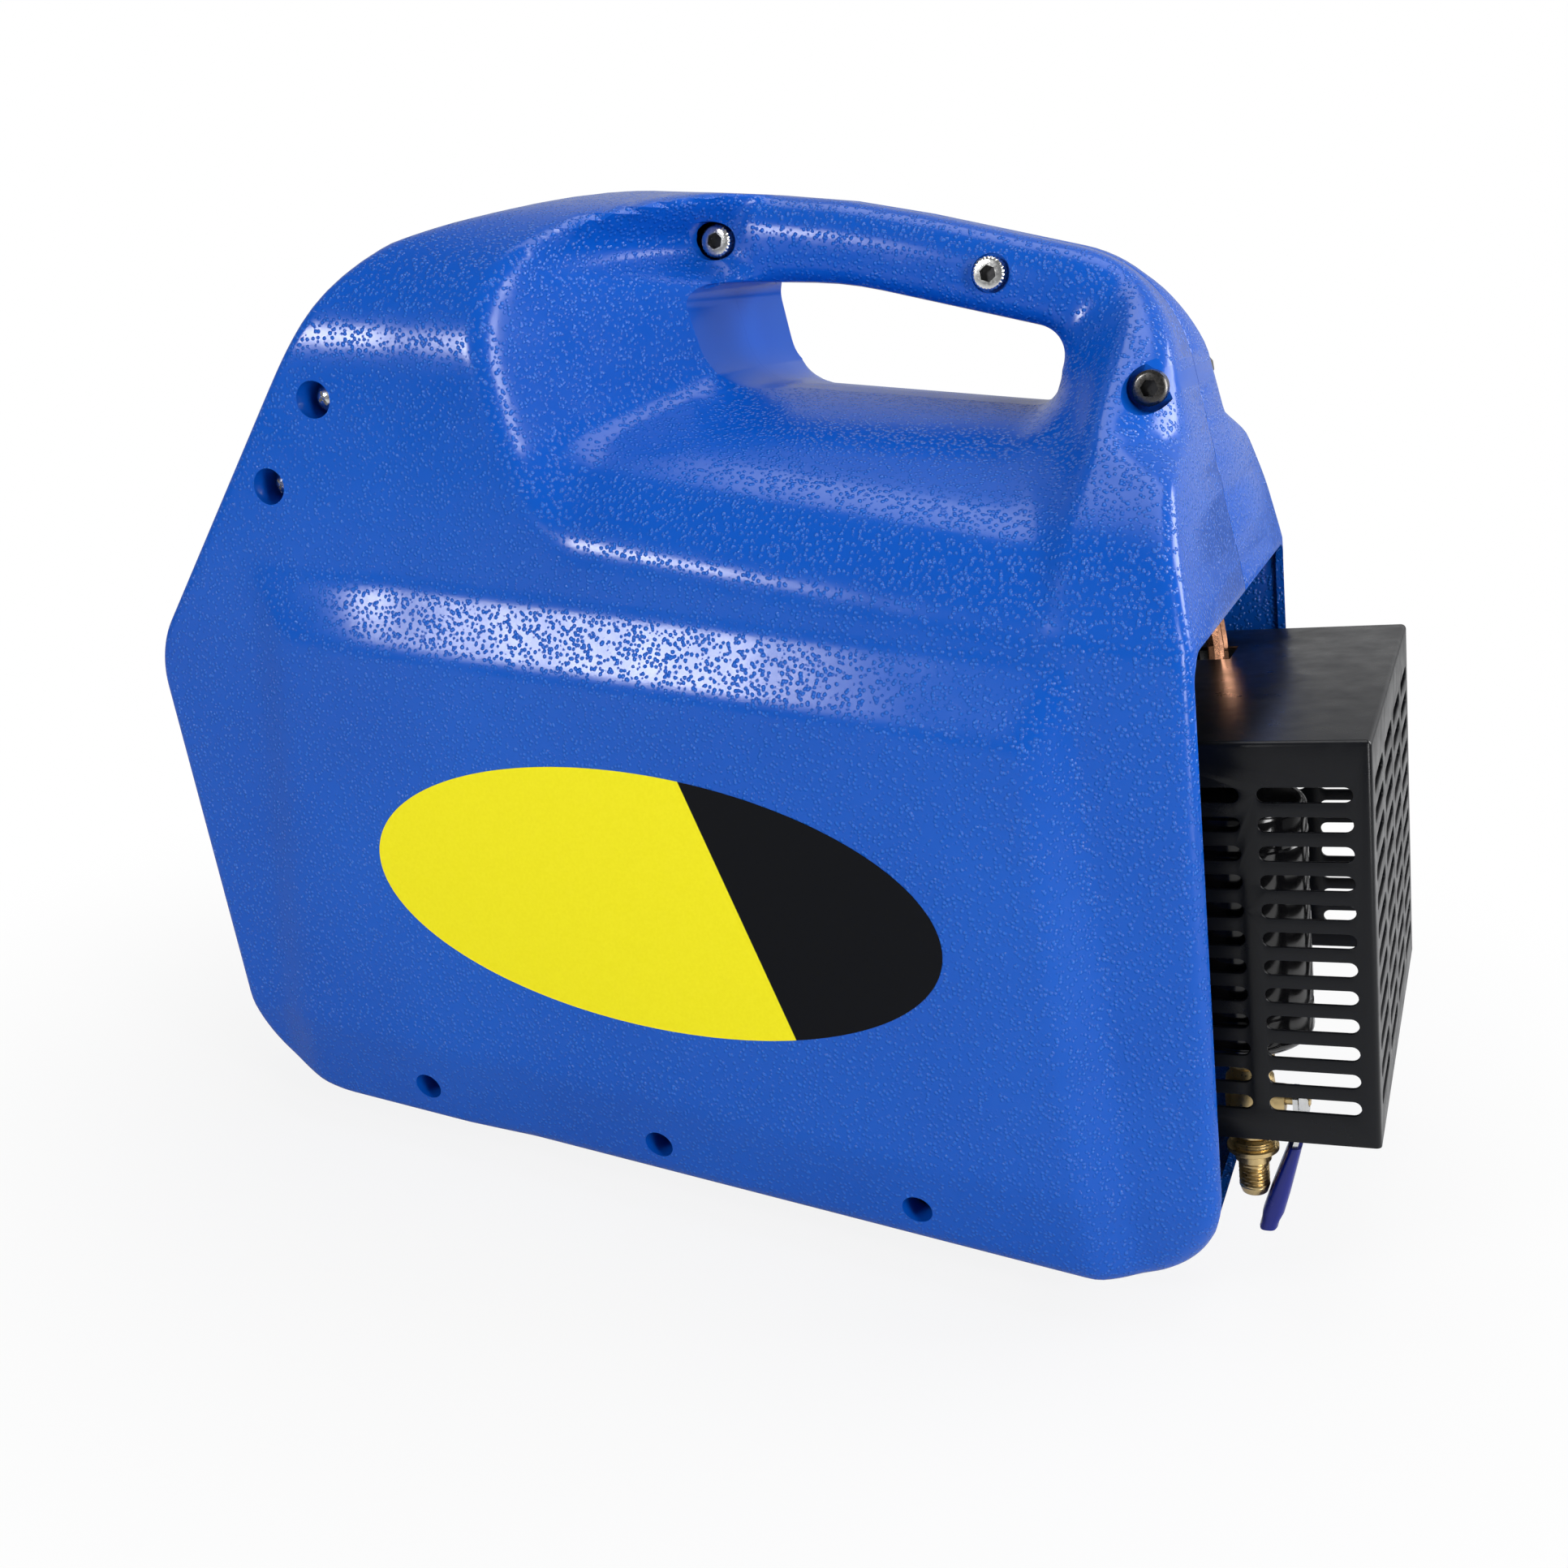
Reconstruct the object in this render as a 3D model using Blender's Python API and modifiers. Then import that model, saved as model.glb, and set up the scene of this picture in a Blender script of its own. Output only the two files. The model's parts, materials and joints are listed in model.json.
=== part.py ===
"""Refrigerant recovery machine: a moulded two-half case on a sheet chassis, with a guarded inlet valve.

Metres, +Z up. -Y is the near side, +X the end with the guard box. The feet stand on Z = 0 and the
halves meet at Y = 0.
"""

import math

import bmesh
import bpy
import numpy as np
from mathutils import Matrix, Vector, geometry

MM = 0.001

# Overall
FOOT_HEIGHT = 12 * MM
GAP = 0.3 * MM               # running clearance between pieces that touch on the real machine
SHEET = 1.5 * MM             # folded steel sheet

# Case outline in the centre plane: x, z, corner radius
WALL = 3 * MM
NOSE = (-241 * MM, 195 * MM, 38 * MM)
SHOULDER = (-136 * MM, 375 * MM, 100 * MM)
CROWN = (-5 * MM, 374.5 * MM, 300 * MM)
REAR_SHOULDER = (124 * MM, 362 * MM, 56 * MM)
REAR_BREAK = (161.5 * MM, 244 * MM, 6 * MM)
REAR_FOOT = (199 * MM, FOOT_HEIGHT, 40 * MM)
FRONT_FOOT = (-199 * MM, FOOT_HEIGHT, 48 * MM)
ARC_STEP = math.radians(15)
RELIEF_STEP = 24 * MM        # spacing of the places where the moulded relief is sampled

# Handle and its hole: x, z, corner radius
HANDLE_HALF = 20 * MM
HANDLE_RIM = 14 * MM
HANDLE_UNDER = 8 * MM
HOLE_FRONT_TOP = (-47 * MM, 341.7 * MM, 6 * MM)
HOLE_REAR_TOP = (94 * MM, 334 * MM, 15 * MM)
HOLE_REAR_LOW = (95 * MM, 306 * MM, 12 * MM)
HOLE_FRONT_LOW = (-37 * MM, 311 * MM, 18 * MM)

# Relief of each side, given as half widths
BELLY_HALF = 125 * MM        # the raised panel
RELIEF = 8 * MM              # how far the rest lies below it
CREASE_DROP = 53 * MM        # from the hand hole's low edge to the scoop's crease
CREASE_Z = HOLE_REAR_LOW[1] - CREASE_DROP     # at X = 0
CREASE_FALL = 0.065
BELLY_TOP = CREASE_Z - 20 * MM
BELLY_TOP_BAND = 25 * MM
BELLY_LOW = 49 * MM
LOW_TAPER = 0.35
BELLY_FRONT = -176 * MM
BELLY_FRONT_BAND = 14 * MM
BELLY_REAR = 125 * MM        # at REAR_BAND_Z
REAR_BAND_Z = 220 * MM
REAR_BAND_LEAN = 0.207
REAR_BAND = 15 * MM
RIM = 15 * MM                # rounding between a side and the ends
ROOF_REACH = 60 * MM         # the larger rounding under the front housing's roof
ROOF_START = 310 * MM
ROOF_BLEND = 45 * MM
ROOF_POWER = 2.2
EDGE_HALF = 8 * MM           # half width left at the seam edge of the roof

# Scoop round the hand hole
SCOOP_EDGE_X = -66 * MM
SCOOP_EDGE_Z = CREASE_Z + 6 * MM
SCOOP_EDGE_BACK = 34 * MM
SCOOP_EDGE_RISE = 89 * MM
BAND_SLOPE = 0.63
BAND_HEIGHT = 27 * MM
SHELF_SLOPE = 2.0
WALL_SLOPE = 1.4
WALL_SLOPE_TOP = 1.0         # added above the hand hole
COLUMN_X = 116 * MM
COLUMN_FLARE = 1.5
COLUMN_Z = CREASE_Z + 19 * MM
COLUMN_BREAK = COLUMN_Z + 11 * MM
COLUMN_SLOPE = 1.6
SOFT_RIDGE = 12 * MM
SOFT_VALLEY = 18 * MM

# Leaning planes of the ends, as angles from the vertical
REAR_LEAN = math.atan2(REAR_FOOT[0] - REAR_BREAK[0], REAR_BREAK[1] - REAR_FOOT[1])

# Openings in the ends of the case
REAR_OPENING_INSET = 13 * MM  # from the belly in to the opening's side
REAR_OPENING_HALF = BELLY_HALF - REAR_OPENING_INSET
REAR_OPENING_TOP = 242 * MM
REAR_OPENING_LOW = 40 * MM
OPENING_CORNER = 10 * MM
REAR_FRAME_Z = 150 * MM      # height of the rear face's frame
FRAME_MARGIN = 8 * MM        # between the nose's arc and the panels
FRONT_OPENING_INSET = 43.5 * MM
FRONT_OPENING_HALF = BELLY_HALF - FRONT_OPENING_INSET
FRONT_OPENING_REACH = 50 * MM
PANEL_MARGIN = 8 * MM

# Fasteners
BOLT = 3 * MM                # radius of the through bolts
BOLT_HEAD = 6 * MM
BOLT_HEAD_HEIGHT = 5.5 * MM
BOLT_SEAT = 2.5 * MM         # depth of the shallow seats in the handle
HANDLE_BOLTS = ((-45 * MM, 356.5 * MM), (62 * MM, 349.4 * MM))
REAR_BOLT = (128 * MM, 316 * MM)
REAR_BOLT_BORE = 8 * MM
REAR_BOLT_DEPTH = 81 * MM    # from the belly's side in to the floor of its counterbore
REAR_BOLT_FLOOR = BELLY_HALF - REAR_BOLT_DEPTH
BOSS_WALL = 3.5 * MM
BORE_WALL = 2 * MM           # round the counterbores
HEAD_CLEARANCE = 1 * MM      # round the heads of the handle's bolts
SCREW = 2 * MM
SCREW_HEAD = 4.75 * MM
SCREW_HEAD_HEIGHT = 3 * MM
PANEL_SCREWS = ((-159 * MM, 298 * MM), (-180 * MM, 265 * MM))
PANEL_SCREW_BORE = 6.75 * MM
PANEL_SCREW_DEPTH = 19 * MM
PANEL_SCREW_FLOOR = BELLY_HALF - PANEL_SCREW_DEPTH
BASE_SCREW_X = (-121 * MM, -17 * MM, 87 * MM)
BASE_SCREW_Z = 28 * MM
BASE_SCREW_BORE = 5.75 * MM
SCREW_REACH = 5 * MM         # past the outside of the sheet that a screw holds

# Base plate and feet
BASE_FRONT = -160 * MM
BASE_REAR = 150 * MM
BASE_INSET = 27 * MM
BASE_HALF = BELLY_HALF - BASE_INSET
BASE_BOSS = 8 * MM           # length of the bosses between the base plate and the screw heads
BASE_SCREW_FLOOR = BASE_HALF + BASE_BOSS
BASE_FLANGE = 26 * MM
BASE_SHEET = 2 * MM
BASE_FLOOR = FOOT_HEIGHT + WALL + GAP
FOOT_X = (-122 * MM, 118 * MM)
FOOT_INSET = 26 * MM
FOOT_Y = BASE_HALF - FOOT_INSET
FOOT_RADIUS = 15 * MM
FOOT_NECK = 12.75 * MM
FOOT_EDGE = 2 * MM
STUD_RADIUS = 5 * MM

# Guard box, in the frame of the rear face
BOX_SIDE_GAP = 20.6 * MM     # between the box and the sides of the rear opening
BOX_HALF = REAR_OPENING_HALF - BOX_SIDE_GAP
BOX_BEND = 2 * MM
BOX_TOP = 60 * MM
BOX_LOW = -82 * MM
BOX_OUT = 49.4 * MM
BOX_IN = -29.6 * MM
SLOT_ROWS = 12
SLOT_PITCH = 10 * MM
SLOT_HEIGHT = 5.3 * MM
FIRST_SLOT = 18 * MM         # from the top down to the middle of the first row
SIDE_SLOT = 30 * MM
SIDE_SLOT_GAP = 5.5 * MM
SIDE_SLOT_MARGIN = 6 * MM
END_SLOT = 35 * MM
END_SLOT_PITCH = 43.3 * MM
END_SLOTS = 4
BOX_FLANGE = 12 * MM

# Shroud, fan and condenser, measured inwards from the rear face
SHROUD_DEPTH = 30 * MM
SHROUD_TOP = 108 * MM
SHROUD_LOW_Z = 32 * MM
FAN_Z = (BOX_TOP + BOX_LOW) / 2
FAN_MARGIN = 5 * MM          # from the fan's hole to the box's top and low edge
FAN_HOLE = (BOX_TOP - BOX_LOW) / 2 - FAN_MARGIN
FAN_TIP_GAP = 4 * MM
FAN_RADIUS = FAN_HOLE - FAN_TIP_GAP
FAN_HUB = 20 * MM
FAN_WIDTH = 18 * MM
FAN_BLADES = 6
FAN_GAP = 9 * MM             # from the shroud back to the fan
FAN_PITCH = math.radians(32)
BLADE_ROOT = 13 * MM
BLADE_TIP = 27 * MM
BLADE_THICK = 1.5 * MM
HUB_WALL = 2 * MM
SHAFT = 3 * MM
FAN_MOTOR_RADIUS = 18 * MM
FAN_MOTOR_LENGTH = 16 * MM
FAN_MOTOR_GAP = 6 * MM       # behind the fan
ARM_RADIUS = 2.5 * MM
ARM_REACH = 8 * MM           # past the fan's hole
CONDENSER_GAP = 3.5 * MM      # from the fan's motor to the condenser
FAN_STACK = FAN_GAP + FAN_WIDTH + FAN_MOTOR_GAP + FAN_MOTOR_LENGTH
CONDENSER_DEPTH = SHROUD_DEPTH + SHEET + FAN_STACK + CONDENSER_GAP
CONDENSER_THICK = 22 * MM
CONDENSER_MARGIN = 6 * MM    # inside the edge of the base plate
CONDENSER_HALF = BASE_HALF - CONDENSER_MARGIN
CONDENSER_TOP = 66 * MM
CONDENSER_FINS = 14
FIN_DEPTH = 5 * MM
FIN_MARGIN = 4 * MM
FIN_END = 8 * MM

# Inlet line, in the frame of the rear face
LINE_INSET = 27.4 * MM       # from the box's side to the line
LINE_Y = LINE_INSET - BOX_HALF
LINE_OUT = 3 * MM
DRIER_RADIUS = 23 * MM
DRIER_TOP = BOX_TOP - 22 * MM
DRIER_LOW = BOX_LOW + 24 * MM
DRIER_DOME = 8 * MM
DRIER_NECK = 4 * MM          # radius
VALVE_Z = BOX_LOW + 3 * MM
VALVE_HALF = 9 * MM
VALVE_COLLAR = 7 * MM
BONNET = 5.5 * MM
STEM = 2.5 * MM
PORT_DROP = 18 * MM          # from the box's low edge to the flare port's rim
PORT_RIM = BOX_LOW - PORT_DROP
PORT_LENGTH = 17 * MM
PORT_TIP = PORT_RIM - PORT_LENGTH
FLARE_RIM = 9.2 * MM
FLARE_HEX = 6.4 * MM
FLARE = 5.5 * MM             # radius over a 1/4 inch flare thread
FLARE_TIP = 4.6 * MM
FLARE_BORE = 3 * MM
LEVER_OUT = 18 * MM
LEVER_LENGTH = 50 * MM
LEVER_BEND = 15 * MM         # below the stem
LEVER_LEAN = 0.315
LEVER_EYE = 3 * MM
LEVER_WIDTH = 9 * MM
LEVER_THICK = 1.8 * MM
SLEEVE_WALL = 1.2 * MM
TUBE_RADIUS = 3.175 * MM
TUBE_PASS = (40 * MM, 51 * MM)
TUBE_DEPTH = -19 * MM
TUBE_RISE = 26 * MM          # above the box's top
TUBE_RETURN = (BOX_HALF - 21.4 * MM, BOX_TOP - 20 * MM)     # where the second tube meets the shroud

# Controls
PANEL_SHEET = 2 * MM
PANEL_SETBACK = WALL + GAP
PANEL_DEPTH = 26 * MM
GAUGE_SPREAD = 0.215         # of the opening, left free between the two gauges
GAUGE_MIDDLE = FRONT_OPENING_HALF * GAUGE_SPREAD
GAUGE_SIDE = 1 * MM          # from a gauge's rim to the opening's side
GAUGE_RIM = (FRONT_OPENING_HALF - GAUGE_MIDDLE - GAUGE_SIDE) / 2
GAUGE_Y = GAUGE_MIDDLE + GAUGE_RIM
GAUGE_UP = 8 * MM
RIM_WIDTH = 2.5 * MM
GAUGE_RADIUS = GAUGE_RIM - RIM_WIDTH
GAUGE_DEPTH = 24 * MM
BEZEL = 3 * MM
DIAL_DEPTH = 4.5 * MM
LENS_SEAT = 2 * MM
NEEDLE_PIN = 1.2 * MM
NEEDLE_HUB = 3 * MM
NEEDLE_THICK = 0.8 * MM
NEEDLE_REST = math.radians(225)
KNOB_UP = -24 * MM
KNOB_RADIUS = 17 * MM
KNOB_HEIGHT = 16 * MM
STEM_RADIUS = 4 * MM
INLET_WIDTH = 27.5 * MM
INLET_HEIGHT = 20 * MM
INLET_AT = (33.5 * MM - FRONT_OPENING_HALF, -18 * MM)
INLET_FLANGE = 3 * MM
INLET_DEPTH = 24 * MM
INLET_WALL = 2 * MM
INLET_WELL = 16 * MM
BLADE_PINS = ((-7 * MM, -1.5 * MM), (0, 3 * MM), (7 * MM, -1.5 * MM))
BLADE_PIN = (2 * MM, 4 * MM, 13 * MM)
SWITCH_AT = (25.5 * MM - FRONT_OPENING_HALF, 24 * MM)
SWITCH_SIZE = (26 * MM, 18 * MM)
SWITCH_DEPTH = 18 * MM
SWITCH_WELL = 9 * MM
SWITCH_WALL = 1.2 * MM
SWITCH_PIN = 1.2 * MM
SWITCH_PIVOT = 3 * MM        # behind the panel's face
SWITCH_SWING = math.radians(8)
RESET_AT = (SWITCH_AT[0] + 42 * MM, 24 * MM)
RESET_RADIUS = 5 * MM
RESET_TRAVEL = 3 * MM
BREAKER_DEPTH = 20 * MM
BREAKER_FLOOR = 4 * MM
OUTLET_AT = (FRONT_OPENING_HALF - 33.5 * MM, 0)
OUTLET_RADIUS = 8 * MM
OUTLET_RIM = 11 * MM
OUTLET_REACH = 17 * MM
OUTLET_BACK = 14 * MM
VALVE_BODY = 15 * MM
VALVE_BODY_LENGTH = 22 * MM
KNOB_FLUTES = 12
FLUTE = 1.6 * MM

# Drive train on the base plate
MOTOR_RADIUS = 52 * MM
MOTOR_X = (-18 * MM, 62 * MM)
SHAFT_Z = 76 * MM
BLOCK_X = (-92 * MM, -20 * MM)
BLOCK_HALF = 34 * MM
BLOCK_TOP = 120 * MM
HEAD_REACH = 30 * MM
HEAD_MARGIN = 6 * MM
HEAD_LOW = 26 * MM           # below the shaft
HEAD_HIGH = 32 * MM
HEAD_FINS = 5
HEAD_FIN_DEPTH = 7 * MM
CRADLE_MARGIN = 12 * MM
CONTROL_HALF = 42 * MM
CONTROL_HEIGHT = 55 * MM
CONTROL_FRONT = 12 * MM      # past the block's front
PRESSURE_SWITCH = ((6 * MM, 18 * MM), (9 * MM, 8 * MM))     # radius and height of its two steps

COLOURS = {
    "shell_blue": ((0.012, 0.085, 0.55), 0.42, 0.0),
    "black_powder": ((0.02, 0.022, 0.026), 0.4, 0.3),
    "zinc": ((0.62, 0.62, 0.6), 0.3, 1.0),
    "dark_zinc": ((0.12, 0.12, 0.12), 0.35, 1.0),
    "steel": ((0.5, 0.5, 0.5), 0.35, 1.0),
    "aluminium": ((0.6, 0.6, 0.6), 0.4, 1.0),
    "brass": ((0.62, 0.42, 0.14), 0.3, 1.0),
    "copper": ((0.72, 0.33, 0.18), 0.25, 1.0),
    "gloss_black": ((0.012, 0.012, 0.014), 0.12, 0.0),
    "black_plastic": ((0.02, 0.02, 0.02), 0.5, 0.0),
    "rubber": ((0.015, 0.015, 0.015), 0.8, 0.0),
    "vinyl_blue": ((0.01, 0.025, 0.25), 0.3, 0.0),
    "dial_white": ((0.8, 0.8, 0.78), 0.5, 0.0),
    "lens_clear": ((0.8, 0.85, 0.88), 0.05, 0.0),
    "red": ((0.6, 0.02, 0.02), 0.35, 0.0),
}


def clear_scene():
    for item in list(bpy.data.objects):
        bpy.data.objects.remove(item, do_unlink=True)


def make_collection(name):
    collection = bpy.data.collections.new(name)
    bpy.context.scene.collection.children.link(collection)
    return collection


def make_material(node, look):
    colour, roughness, metallic = COLOURS[look]
    material = bpy.data.materials.new(node)
    material.use_nodes = True
    shader = material.node_tree.nodes["Principled BSDF"]
    shader.inputs["Base Color"].default_value = (*colour, 1)
    shader.inputs["Roughness"].default_value = roughness
    shader.inputs["Metallic"].default_value = metallic
    return material


def place(obj, collection, parent=None, location=(0, 0, 0), rotation=(0, 0, 0)):
    collection.objects.link(obj)
    obj.parent = parent
    obj.location = location
    obj.rotation_euler = rotation
    return obj


def add_part(name, data, look, parent=None, location=(0, 0, 0), rotation=(0, 0, 0), smooth=35):
    """A named piece of the machine, from a mesh or a curve."""
    obj = bpy.data.objects.new(name, data)
    data.materials.append(make_material(name, look))
    if isinstance(data, bpy.types.Mesh) and smooth:
        data.shade_smooth()
        data.set_sharp_from_angle(angle=math.radians(smooth))
    return place(obj, PARTS, parent, location, rotation)


def add_cutter(name, data, parent=None, location=(0, 0, 0), rotation=(0, 0, 0)):
    obj = place(bpy.data.objects.new(name, data), CUTTERS, parent, location, rotation)
    obj.hide_render = True
    obj.display_type = "WIRE"
    return obj


def boolean(target, tool, operation="DIFFERENCE", crossing=False):
    """A boolean modifier; crossing is set where the tool's own shapes overlap each other."""
    modifier = target.modifiers.new(tool.name, "BOOLEAN")
    modifier.use_self = crossing
    modifier.operation = operation
    modifier.solver = "EXACT"
    modifier.object = tool


def mesh_from(bm, name):
    bmesh.ops.recalc_face_normals(bm, faces=bm.faces)
    mesh = bpy.data.meshes.new(name)
    bm.to_mesh(mesh)
    bm.free()
    return mesh


def frame_empty(name, origin, right, up):
    """An empty whose local Z points out of a face, with local X to the right and local Y up it."""
    right, up = Vector(right), Vector(up)
    out = right.cross(up)
    axes = Matrix((right, up, out)).transposed().to_4x4()
    empty = bpy.data.objects.new(name, None)
    place(empty, CUTTERS)
    empty.matrix_world = Matrix.Translation(origin) @ axes
    return empty


# Outlines


def rounded_outline(corners, step=ARC_STEP):
    """Points of a closed outline whose corners (x, z, radius) are rounded by arcs."""
    points = []
    for index, (x, z, radius) in enumerate(corners):
        before = Vector(corners[index - 1][:2])
        after = Vector(corners[(index + 1) % len(corners)][:2])
        corner = Vector((x, z))
        back = (before - corner).normalized()
        ahead = (after - corner).normalized()
        half_angle = back.angle(ahead) / 2
        reach = radius / math.tan(half_angle)
        start = corner + back * reach
        centre = corner + (back + ahead).normalized() * radius / math.sin(half_angle)
        turn = math.pi - 2 * half_angle
        count = max(1, round(turn / step))
        spoke = start - centre
        sign = 1 if back.x * ahead.y - back.y * ahead.x < 0 else -1
        for n in range(count + 1):
            angle = sign * turn * n / count
            points.append(centre + Matrix.Rotation(angle, 2) @ spoke)
    return np.array([tuple(point) for point in points])


def resampled(points, spacing):
    """The same closed outline, with points added where a side is longer than the spacing."""
    result = []
    for start, end in zip(points, np.roll(points, -1, axis=0)):
        length = math.hypot(*(end - start))
        if length < 1e-6:
            continue
        count = max(1, round(length / spacing))
        result.extend(start + (end - start) * n / count for n in range(count))
    return np.array(result)


def distance_to(outline, x, z):
    """Distance from each point to the outline, and whether it is inside."""
    best = np.full(x.shape, np.inf)
    inside = np.zeros(x.shape, bool)
    for (ax, az), (bx, bz) in zip(outline, np.roll(outline, -1, axis=0)):
        dx, dz = bx - ax, bz - az
        along = np.clip(((x - ax) * dx + (z - az) * dz) / (dx * dx + dz * dz), 0, 1)
        best = np.minimum(best, np.hypot(x - ax - along * dx, z - az - along * dz))
        if az != bz:
            crosses = (az > z) != (bz > z)
            inside ^= crosses & (x < ax + (z - az) * dx / dz)
    return best, inside


# Relief of the case side


def ramp(value, start, width):
    return np.clip((value - start) / width, 0, 1)


def soft_ramp(value, start, width):
    t = ramp(value, start, width)
    return t * t * (3 - 2 * t)


def soft_min(a, b, reach):
    near = np.maximum(reach - np.abs(a - b), 0) / reach
    return np.minimum(a, b) - near * near * reach / 4


def soft_max(a, b, reach):
    return -soft_min(-a, -b, reach)


def side_panel(x, z):
    """Half width of the plain side: the raised belly, its bands and the taper under it."""
    belly = ramp(-z, -BELLY_TOP, BELLY_TOP_BAND)
    belly = belly * ramp(x, BELLY_FRONT - BELLY_FRONT_BAND, BELLY_FRONT_BAND)
    rear_edge = BELLY_REAR + (REAR_BAND_Z - z) * REAR_BAND_LEAN
    belly = belly * ramp(-x, -rear_edge, REAR_BAND)
    taper = LOW_TAPER * np.maximum(BELLY_LOW - z, 0)
    return BELLY_HALF - RELIEF + RELIEF * belly - taper


def scoop(x, z):
    """Half width inside the scoop: shelf, front wall, rear column and handle, blended."""
    side = BELLY_HALF - RELIEF
    crease = CREASE_Z - CREASE_FALL * x
    band = side - BAND_SLOPE * (z - crease)
    shelf = side - BAND_SLOPE * BAND_HEIGHT - SHELF_SLOPE * (z - crease - BAND_HEIGHT)
    shelf = soft_min(band, shelf, SOFT_RIDGE)
    rise = np.clip((z - SCOOP_EDGE_Z) / SCOOP_EDGE_RISE, 0, 2)
    edge = SCOOP_EDGE_X - SCOOP_EDGE_BACK * rise ** 0.7
    slope = WALL_SLOPE + WALL_SLOPE_TOP * ramp(z, HOLE_FRONT_TOP[1], HANDLE_RIM)
    front = side - slope * (x - edge)
    column = side - BAND_SLOPE * (z - COLUMN_Z)
    steep = side - BAND_SLOPE * (COLUMN_BREAK - COLUMN_Z) - COLUMN_SLOPE * (z - COLUMN_BREAK)
    column = soft_min(column, steep, SOFT_RIDGE) - COLUMN_FLARE * np.maximum(COLUMN_X - x, 0)
    body = soft_max(soft_max(shelf, front, SOFT_VALLEY), column, SOFT_VALLEY)
    return soft_max(body, np.full(x.shape, HANDLE_HALF), SOFT_VALLEY)


def rim_curve(half, distance, reach, drop, power):
    """The half width, rounded down by drop over the last stretch before the outline."""
    t = np.clip(1 - distance / reach, 0, 1)
    return half - drop * (1 - (1 - t ** power) ** (1 / power))


def half_width(x, z, outline, hole):
    """Half width of the case at each point of its side view."""
    x, z = np.asarray(x, float), np.asarray(z, float)
    edge, _ = distance_to(outline, x, z)
    opening, _ = distance_to(hole, x, z)
    half = soft_min(side_panel(x, z), scoop(x, z), SOFT_RIDGE)
    roof = soft_ramp(z, ROOF_START, ROOF_BLEND) * ramp(-x, -REAR_BOLT[0], REAR_BOLT[0])
    housing = roof * ramp(-x, 0, -SCOOP_EDGE_X)
    reach = RIM + (ROOF_REACH - RIM) * housing
    drop = np.minimum(RIM + (BELLY_HALF - RIM - EDGE_HALF) * housing, half - EDGE_HALF)
    drop = np.where(half < HANDLE_HALF * 2, np.minimum(drop, HANDLE_RIM), drop)
    half = rim_curve(half, edge, reach, drop, ROOF_POWER)
    under = np.where(half < HANDLE_HALF + RIM, 1.0, 0.0) * ramp(z, HOLE_REAR_LOW[1], HANDLE_HALF)
    return rim_curve(half, opening, HANDLE_UNDER, HANDLE_UNDER * under, 2)


def belly_lines(spacing):
    """Rows of places along both edges of every band round the raised belly."""
    top, low = BELLY_TOP - BELLY_TOP_BAND, BELLY_LOW
    front = BELLY_FRONT - BELLY_FRONT_BAND

    def rear_edge(z):
        return BELLY_REAR + (REAR_BAND_Z - z) * REAR_BAND_LEAN

    ends = [((x, low), (x, BELLY_TOP)) for x in (front, BELLY_FRONT)]
    ends += [((rear_edge(low) - inward, low), (rear_edge(BELLY_TOP) - inward, BELLY_TOP))
             for inward in (0, REAR_BAND)]
    ends += [((front, z), (rear_edge(z), z)) for z in (low, top, BELLY_TOP)]
    lines = []
    for start, end in ends:
        count = 1 + round(math.hypot(end[0] - start[0], end[1] - start[1]) / (1.5 * spacing))
        share = np.linspace(0, 1, count + 1)[:, None]
        lines.append(np.array(start) * (1 - share) + np.array(end) * share)
    return lines


def relief_points(outline, hole, spacing, rings):
    """Places where the relief is sampled: both outlines, rings inside them and a following grid."""
    chosen = []
    normal = np.roll(outline, -1, axis=0) - np.roll(outline, 1, axis=0)
    normal = np.stack([normal[:, 1], -normal[:, 0]], axis=1)
    normal /= np.linalg.norm(normal, axis=1)[:, None]
    middle = outline.mean(axis=0)
    normal *= np.sign(((middle - outline) * normal).sum(axis=1).mean())
    high = soft_ramp(outline[:, 1], ROOF_START, ROOF_BLEND) * ramp(-outline[:, 0], 0, -SCOOP_EDGE_X)
    reach = RIM + (ROOF_REACH - RIM) * high
    for share in rings:
        chosen.append(outline + normal * (share * reach)[:, None])
    chosen += belly_lines(spacing)
    columns = np.arange(SCOOP_EDGE_X - SCOOP_EDGE_BACK - RIM, REAR_FOOT[0], spacing * 0.8)
    for row in np.arange(0, CROWN[1] - CREASE_Z + spacing, spacing * 0.6):
        chosen.append(np.stack([columns, CREASE_Z - CREASE_FALL * columns + row], axis=1))
    points = np.concatenate(chosen)
    edge, inside = distance_to(outline, points[:, 0], points[:, 1])
    opening, in_hole = distance_to(hole, points[:, 0], points[:, 1])
    keep = inside & ~in_hole & (edge > rings[0] * RIM * 0.8) & (opening > spacing * 0.25)
    points = points[keep]
    free = []
    for point in points:
        if all(math.hypot(*(point - other)) > spacing * 0.3 for other in free):
            free.append(point)
    return np.array(free)


def relief_triangles(outline, hole, free):
    """Triangles over the side view, between the outline and the hand hole."""
    points = [Vector(p) for p in np.concatenate([outline, hole, free])]
    count = len(outline)
    loops = [(n, (n + 1) % count) for n in range(count)]
    loops += [(count + n, count + (n + 1) % len(hole)) for n in range(len(hole))]
    found = geometry.delaunay_2d_cdt(points, loops, [], 0, 1e-7)
    spots = np.array([tuple(p) for p in found[0]])
    faces = np.array([tuple(face) for face in found[2]])
    centres = spots[faces].mean(axis=1)
    _, inside = distance_to(outline, centres[:, 0], centres[:, 1])
    _, in_hole = distance_to(hole, centres[:, 0], centres[:, 1])
    return spots, faces[inside & ~in_hole]


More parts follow.
